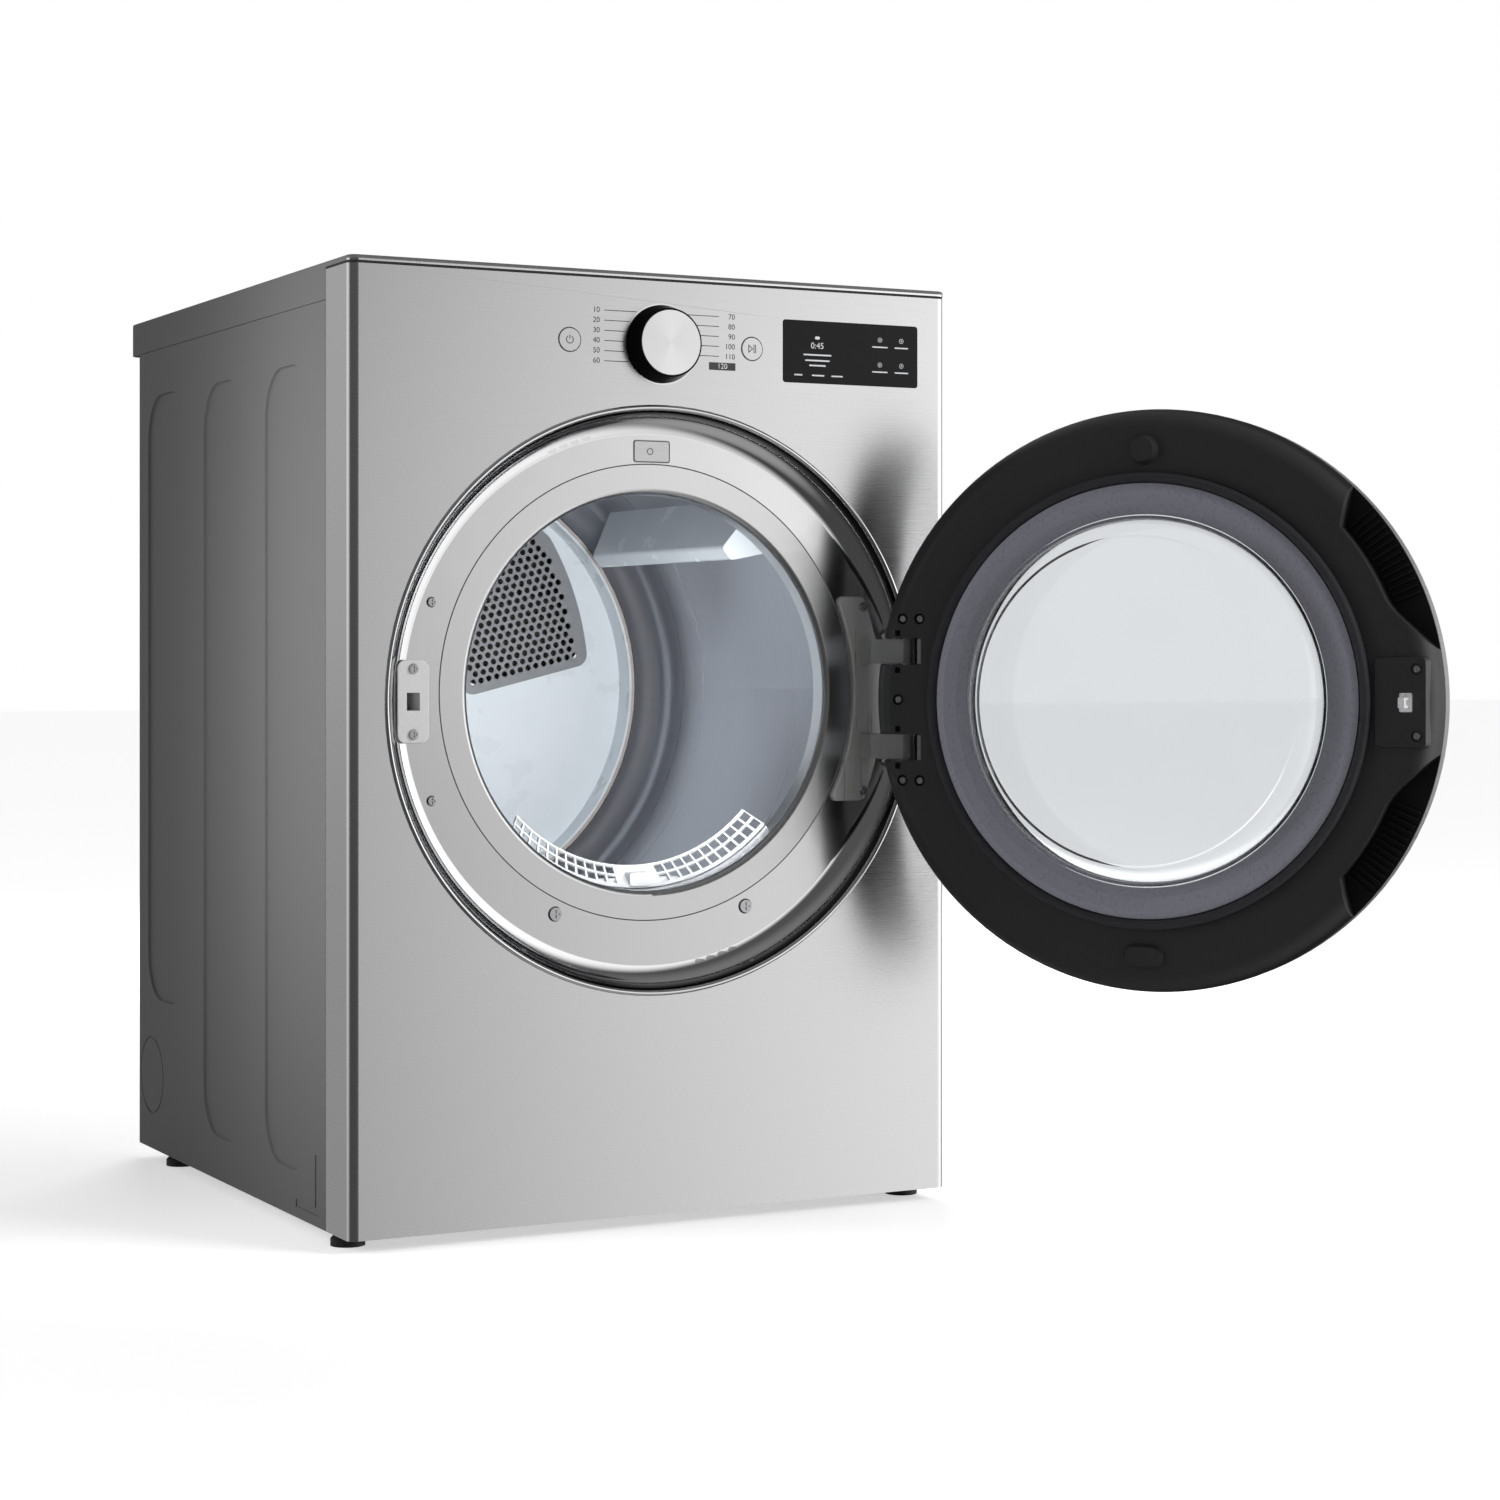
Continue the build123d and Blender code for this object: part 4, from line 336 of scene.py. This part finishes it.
def softbox(name, place, target, size, watts, spread=180.0):
    data = bpy.data.lights.new(name, "AREA")
    data.shape = "RECTANGLE"
    data.size, data.size_y = size
    data.energy = watts
    data.spread = math.radians(spread)
    lamp = bpy.data.objects.new(name, data)
    lamp.location = place
    lamp.rotation_euler = (Vector(target) - Vector(place)).to_track_quat("-Z", "Y").to_euler()
    lamp.visible_camera = False
    lamp.visible_glossy = False
    lamp.visible_transmission = False
    scene.collection.objects.link(lamp)


def photo_camera(place, turn, lens, shift):
    data = bpy.data.cameras.new("photo_camera")
    data.sensor_width = 36.0
    data.lens = lens
    data.shift_y = shift
    data.clip_end = 200.0
    camera = bpy.data.objects.new("photo_camera", data)
    camera.location = place
    camera.rotation_euler = (math.radians(90), 0, math.radians(turn))
    scene.collection.objects.link(camera)
    scene.camera = camera


studio_floor(half=30.0, near=1.0, far=2.6, near_glow=0.50, far_glow=0.70, passed=0.70)
SKY_LOBES = {
    "front": ((0.788, -0.616, -0.10), 42.5, 6, 0.10, 1.82),
    "back": ((-0.2, 1, 0.1), 60, 20, 0.0, 0.38),
    "right": ((1, -0.05, 0), 36, 10, 0.0, 0.85),
    "left": ((-0.93, 0.35, 0.05), 30, 10, 0.0, 0.80),
    "top": ((0, 0, 1), 60, 15, 0.0, 0.12),
    "low": ((0.2, -0.5, -1.0), 33, 8, 0.0, 0.45),
}
studio_sky(SKY_LOBES.values())
softbox("key", (2.6, -3.2, 2.6), target=(0, 0, 0.5), size=(2.2, 2.2), watts=130)
softbox("side_fill", (-0.85, -0.26, 0.66), target=(-0.34, -0.26, 0.62), size=(0.25, 0.9), watts=2.0,
        spread=110.0)
softbox("drum_light", (0.02, -0.42, 0.54), target=(0.04, 0.3, 0.55), size=(0.30, 0.30), watts=1.75,
        spread=100.0)
softbox("rear_fill", (1.3, 3.2, 1.9), target=(0.1, 0.4, 0.5), size=(2.0, 2.0), watts=70)
photo_camera((-1.4062, -3.2071, 0.5901), turn=-27.725, lens=74.06, shift=-0.062)


# Flat outlines in millimetres, as closed loops of points
def arc_points(centre, radius, first, last, steps):
    angles = [math.radians(first + (last - first) * i / steps) for i in range(steps + 1)]
    return [(centre[0] + radius * math.cos(a), centre[1] + radius * math.sin(a)) for a in angles]


def ring_loops(x, z, outer, inner=0.0, start=0.0, end=360.0, steps=48):
    """Disc, ring, or part of a ring between two angles."""
    rim = arc_points((x, z), outer, start, end, steps)
    hole = arc_points((x, z), inner, start, end, steps)
    if end - start < 360.0:
        return [rim + hole[::-1]]
    return [rim[:-1], hole[:-1]] if inner > 0 else [rim[:-1]]


def bar_loop(x0, x1, z0, z1):
    return [[(x0, z0), (x1, z0), (x1, z1), (x0, z1)]]


def pill_loop(x, z, width, height):
    radius = height / 2
    half = width / 2 - radius
    return [arc_points((x + half, z), radius, -90, 90, 12) + arc_points((x - half, z), radius, 90, 270, 12)]


def plate_loop(x, z, width, height, corner, inset=0.0):
    """Rectangle with round corners, drawn in by an inset."""
    loop = []
    for turn, (side, end) in enumerate(((1, 1), (-1, 1), (-1, -1), (1, -1))):
        centre = (x + side * (width / 2 - corner), z + end * (height / 2 - corner))
        loop += arc_points(centre, corner - inset, 90 * turn, 90 * turn + 90, 6)
    return [loop]


# Pieces that ride on a body of the dryer
MARK_HALF = 0.04
CAPITAL = 0.7


def add_piece(name, mesh, material, body):
    mesh.materials.append(material)
    piece = bpy.data.objects.new(name, mesh)
    scene.collection.objects.link(piece)
    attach(piece, body)


def loops_curve(name, loops):
    curve = bpy.data.curves.new(name, "CURVE")
    curve.dimensions = "2D"
    curve.fill_mode = "BOTH"
    for loop in loops:
        spline = curve.splines.new("POLY")
        spline.points.add(len(loop) - 1)
        for point, (x, z) in zip(spline.points, loop):
            point.co = (x * MM, z * MM, 0, 1)
        spline.use_cyclic_u = True
    return curve


def number_curve(name, text, height, align):
    curve = bpy.data.curves.new(name, "FONT")
    curve.body = text
    curve.size = height * MM / CAPITAL
    curve.align_x = align
    curve.align_y = "CENTER"
    return curve


def printed(name, loops, numbers, depth, body, material, plane=FRONT_PLANE):
    """Thin mesh of closed loops and numbers (text, x, z, height, align), at a depth behind a plane."""
    curves = [(loops_curve(name, loops), 0.0, 0.0)] if loops else []
    curves += [(number_curve(name, text, height, align), x, z) for text, x, z, height, align in numbers]
    merged = bmesh.new()
    for curve, x, z in curves:
        curve.extrude = MARK_HALF * MM
        holder = bpy.data.objects.new(name, curve)
        flat = bpy.data.meshes.new_from_object(holder)
        flat.transform(Matrix.Translation((x * MM, z * MM, 0)))
        merged.from_mesh(flat)
        bpy.data.objects.remove(holder)
        bpy.data.meshes.remove(flat)
    bmesh.ops.remove_doubles(merged, verts=merged.verts, dist=1e-7)
    mesh = bpy.data.meshes.new(name)
    merged.to_mesh(mesh)
    merged.free()
    mesh.transform(Matrix.Rotation(math.radians(90), 4, "X"))
    mesh.transform(plane @ Matrix.Translation((0, depth * MM, 0)))
    add_piece(name, mesh, material, body)


# Depths of the marks behind the front panel's face
ON_PANEL = -0.1
ON_CHOICE = -0.22
ON_BUTTON = -0.72
ON_LAMP = 24.3
ON_WELL = 24.92

# Dial: rows of numbers on both sides, each with a leader line, and the last number on a dark plate
ROWS = 6
ROW_TOP = CONTROL_Z + 32.0
ROW_STEP = 10.4
LEADER_GAP = 3.0
LEADER_END = 66.0
LEADER_HALF = 0.4
NUMBER_HEIGHT = 5.6
NUMBER_LEFT = -79.0
NUMBER_RIGHT = 85.0
CHOICE_PLATE = (54.4, 85.5)
CHOICE_HALF = 4.0
CHOICE_X = 70.0
dial_lines = []
dial_numbers = []
for row in range(ROWS):
    row_z = ROW_TOP - row * ROW_STEP
    edge = math.sqrt((KNOB_RADIUS + LEADER_GAP) ** 2 - (row_z - CONTROL_Z) ** 2)
    dial_lines += bar_loop(-LEADER_END, -edge, row_z - LEADER_HALF, row_z + LEADER_HALF)
    if row < ROWS - 1:
        dial_lines += bar_loop(edge, LEADER_END, row_z - LEADER_HALF, row_z + LEADER_HALF)
        dial_numbers.append((str(10 * (ROWS + row + 1)), NUMBER_RIGHT, row_z, NUMBER_HEIGHT, "RIGHT"))
    dial_numbers.append((str(10 * (row + 1)), NUMBER_LEFT, row_z, NUMBER_HEIGHT, "LEFT"))
last_z = ROW_TOP - (ROWS - 1) * ROW_STEP
dial_lines += bar_loop(*CHOICE_PLATE, last_z - CHOICE_HALF, last_z + CHOICE_HALF)
last_number = (str(20 * ROWS), CHOICE_X, last_z, NUMBER_HEIGHT, "CENTER")
printed("dial_marks", dial_lines, dial_numbers, ON_PANEL, "cabinet", print_dark)
printed("dial_choice", [], [last_number], ON_CHOICE, "cabinet", print_pale)
knob_ring = ring_loops(0, CONTROL_Z, outer=KNOB_RADIUS + 1.6, inner=KNOB_RADIUS - 2.0, steps=96)
printed("dial_ring", knob_ring, [], ON_PANEL, "cabinet", bright)

# Painted shadow: dark rings in the gaps around the buttons and around the drum opening's ring, from outer to
# inner radius
BUTTON_GAP = (12.9, 12.1)
OPENING_GAP = (238.3, 237.1)
button_gaps = ring_loops(-BUTTON_X, CONTROL_Z, *BUTTON_GAP) + ring_loops(BUTTON_X, CONTROL_Z, *BUTTON_GAP)
printed("button_gap_shadows", button_gaps, [], ON_PANEL, "cabinet", print_dark)
opening_gap = ring_loops(0, OPENING_Z, *OPENING_GAP, steps=180)
printed("opening_seam_shadow", opening_gap, [], ON_WELL, "cabinet", print_dark)

# Power sign: an open ring with a bar
POWER_X = -BUTTON_X
BAR_HALF = 0.4
power_sign = ring_loops(POWER_X, CONTROL_Z, outer=4.2, inner=3.4, start=120.0, end=420.0)
power_sign += bar_loop(POWER_X - BAR_HALF, POWER_X + BAR_HALF, CONTROL_Z + 0.6, CONTROL_Z + 5.0)
printed("power_mark", power_sign, [], ON_BUTTON, "power_button", print_dark)

# Start sign: an open triangle with two bars
SIGN_HALF = 4.6
start_sign = []
for rear, nose, half in ((-4.4, 1.2, SIGN_HALF), (-3.5, -0.1, 2.9)):
    start_sign.append([(BUTTON_X + rear, CONTROL_Z - half), (BUTTON_X + nose, CONTROL_Z),
                       (BUTTON_X + rear, CONTROL_Z + half)])
for left, right in ((1.8, 2.6), (3.7, 4.5)):
    start_sign += bar_loop(BUTTON_X + left, BUTTON_X + right, CONTROL_Z - SIGN_HALF, CONTROL_Z + SIGN_HALF)
printed("start_mark", start_sign, [], ON_BUTTON, "start_button", print_dark)


def on_display(u, v):
    """Place on the display, from shares of its width and height counted from the top left."""
    return DISPLAY_X + (u - 0.5) * DISPLAY_WIDTH, CONTROL_Z + (0.5 - v) * DISPLAY_HEIGHT


# Display: a time with a pill above it, two groups of bars, and four round signs with a bar below each
TIME_U = 0.25
TIME_HEIGHT = 6.5
display_signs = pill_loop(*on_display(TIME_U, 0.27), width=6.0, height=3.2)
display_time = ("0:45", *on_display(TIME_U, 0.40), TIME_HEIGHT, "CENTER")
for v, width in ((0.545, 34.0), (0.635, 30.0), (0.715, 20.0)):
    display_signs += pill_loop(*on_display(TIME_U, v), width, height=1.6)
for u, width in ((0.11, 10.0), (0.255, 15.0), (0.395, 14.0)):
    display_signs += pill_loop(*on_display(u, 0.875), width, height=1.5)
for u, width in ((0.715, 19.0), (0.877, 17.0)):
    for v in (0.25, 0.655):
        display_signs += ring_loops(*on_display(u, v), outer=2.6, inner=2.1)
        display_signs += ring_loops(*on_display(u, v), outer=0.8)
        display_signs += pill_loop(*on_display(u, v + 0.115), width, height=1.4)
printed("display_marks", display_signs, [display_time], ON_BUTTON, "cabinet", print_pale)

# Drum lamp: a dark line around its lens and a small ring on it
LAMP_LINE = 0.9
lamp_signs = ring_loops(-2.0, LAMP_Z, outer=3.6, inner=2.8)
for inset in (0.0, LAMP_LINE):
    lamp_signs += plate_loop(0.0, LAMP_Z, width=41.6, height=22.6, corner=2.8, inset=inset)
printed("lamp_mark", lamp_signs, [], ON_LAMP, "cabinet", print_dark)

# Polished skin on the curved wall and the bead of the well. Points of its section are given by the
# distance from the well's axis and the height before the front panel
WALL_CENTRE = (276.5, -1.0)
WALL_RADIUS = 24.0
WALL_STEPS = 30
BEAD_CENTRE = (302.94, -1.31)
BEAD_RADIUS = 2.71
BEAD_ARC = (166.0, 27.0)
BEAD_STEPS = 14
THIN_SHARE = 0.2
THIN_STEPS = 12
SKIN = 0.30
SKIN_TURNS = 300
SHARP = math.radians(40)


def skin_section(proud):
    """Section of the skin, which thins out towards the floor of the well."""
    wall = []
    for i in range(WALL_STEPS + 1):
        angle = math.radians(270 + 90 * i / WALL_STEPS)
        radius = WALL_RADIUS - proud * min(1.0, THIN_SHARE + i / THIN_STEPS)
        wall.append((WALL_CENTRE[0] + radius * math.cos(angle), WALL_CENTRE[1] + radius * math.sin(angle)))
    return wall + arc_points(BEAD_CENTRE, BEAD_RADIUS + proud, *BEAD_ARC, BEAD_STEPS)


def turned_mesh(name, section, turns):
    """Closed section turned about the well's axis."""
    skin = bmesh.new()
    rings = []
    for i in range(turns):
        angle = 2 * math.pi * i / turns
        rings.append([skin.verts.new((radius * math.cos(angle) * MM, (FRONT_Y - height) * MM,
                                      (WELL_Z + radius * math.sin(angle)) * MM))
                      for radius, height in section])
    for i, here in enumerate(rings):
        there = rings[(i + 1) % turns]
        for k in range(len(section)):
            n = (k + 1) % len(section)
            skin.faces.new((here[k], there[k], there[n], here[n]))
    bmesh.ops.recalc_face_normals(skin, faces=skin.faces)
    mesh = bpy.data.meshes.new(name)
    skin.to_mesh(mesh)
    skin.free()
    mesh.shade_smooth()
    mesh.set_sharp_from_angle(angle=SHARP)
    return mesh


skin_mesh = turned_mesh("well_skin", skin_section(SKIN) + skin_section(0.0)[::-1], SKIN_TURNS)
add_piece("well_skin", skin_mesh, liner_steel, "cabinet")

# Door: bright end plates in the two hinge slots, and painted shadow: black rings and squares at the bottoms
# of the screw and clip holes
SLOT_END = 242.2
RING_FLOOR = 12.3
CLIP_FLOOR = 12.6
CLIP_X = 268.0
CLIP_HALF = 2.9
slot_plates = []
for z in (50.7, -50.7):
    slot_plates += plate_loop(1.0, z, width=24.0, height=25.0, corner=2.0)
printed("slot_plates", slot_plates, [], SLOT_END, "door", zinc_bright, SLOT_PLANE)
screw_holes = []
for x, z in ((262.5, 85.0), (243.5, 85.0), (267.5, 0.0), (262.5, -85.0), (243.5, -85.0)):
    screw_holes += ring_loops(x, z, outer=5.7, inner=3.9)
printed("door_hole_shadows", screw_holes, [], RING_FLOOR, "door", knob_black, DOOR_PLANE)
clip_holes = []
for z in (70.0, 31.0, -31.0, -70.0):
    clip_holes += bar_loop(CLIP_X - CLIP_HALF, CLIP_X + CLIP_HALF, z - CLIP_HALF, z + CLIP_HALF)
printed("door_clip_hole_shadows", clip_holes, [], CLIP_FLOOR, "door", knob_black, DOOR_PLANE)

# Edge of the top cover: a painted shadow, a black strip in the groove under the plate, and a painted
# highlight, a strip of bright steel along the plate's edge above it
COVER_CORNER = 10.0
COVER_FRONT = FRONT_Y - 0.8


def edge_path(offset, first, depth):
    """Path along the cover's front edge from an angle on the left corner, or from a depth on the left."""
    centre = (COVER_CORNER - HALF_WIDTH, COVER_FRONT + COVER_CORNER)
    left = arc_points(centre, COVER_CORNER - offset, first, 270, 12)
    if depth > 0:
        left.insert(0, (offset - HALF_WIDTH, FRONT_Y + depth))
    return left + [(-x, y) for x, y in reversed(left)]


def edge_strip(name, outer, inner, low, high, first, depth, material):
    """Strip with a square section between two offsets and two heights."""
    points = []
    for (ox, oy), (ix, iy) in zip(edge_path(outer, first, depth), edge_path(inner, first, depth)):
        points += [(x * MM, y * MM, z * MM)
                   for x, y, z in ((ox, oy, low), (ox, oy, high), (ix, iy, high), (ix, iy, low))]
    last = len(points) - 4
    faces = [(0, 3, 2, 1), (last, last + 1, last + 2, last + 3)]
    for i in range(0, last, 4):
        for k in range(4):
            n = (k + 1) % 4
            faces.append((i + k, i + n, i + 4 + n, i + 4 + k))
    mesh = bpy.data.meshes.new(name)
    mesh.from_pydata(points, [], faces)
    mesh.validate()
    add_piece(name, mesh, material, "cabinet")


# Painted shadow: black strip in the groove under the cover plate
edge_strip("cover_groove_shadow", outer=0.5, inner=1.15, low=979.05, high=981.45, first=180.0, depth=66.0,
           material=foot_rubber)
# Painted highlight: bright steel strip along the cover plate's edge
edge_strip("cover_edge_highlight", outer=-0.06, inner=0.3, low=981.6, high=983.6, first=192.0, depth=0.0,
           material=bright)
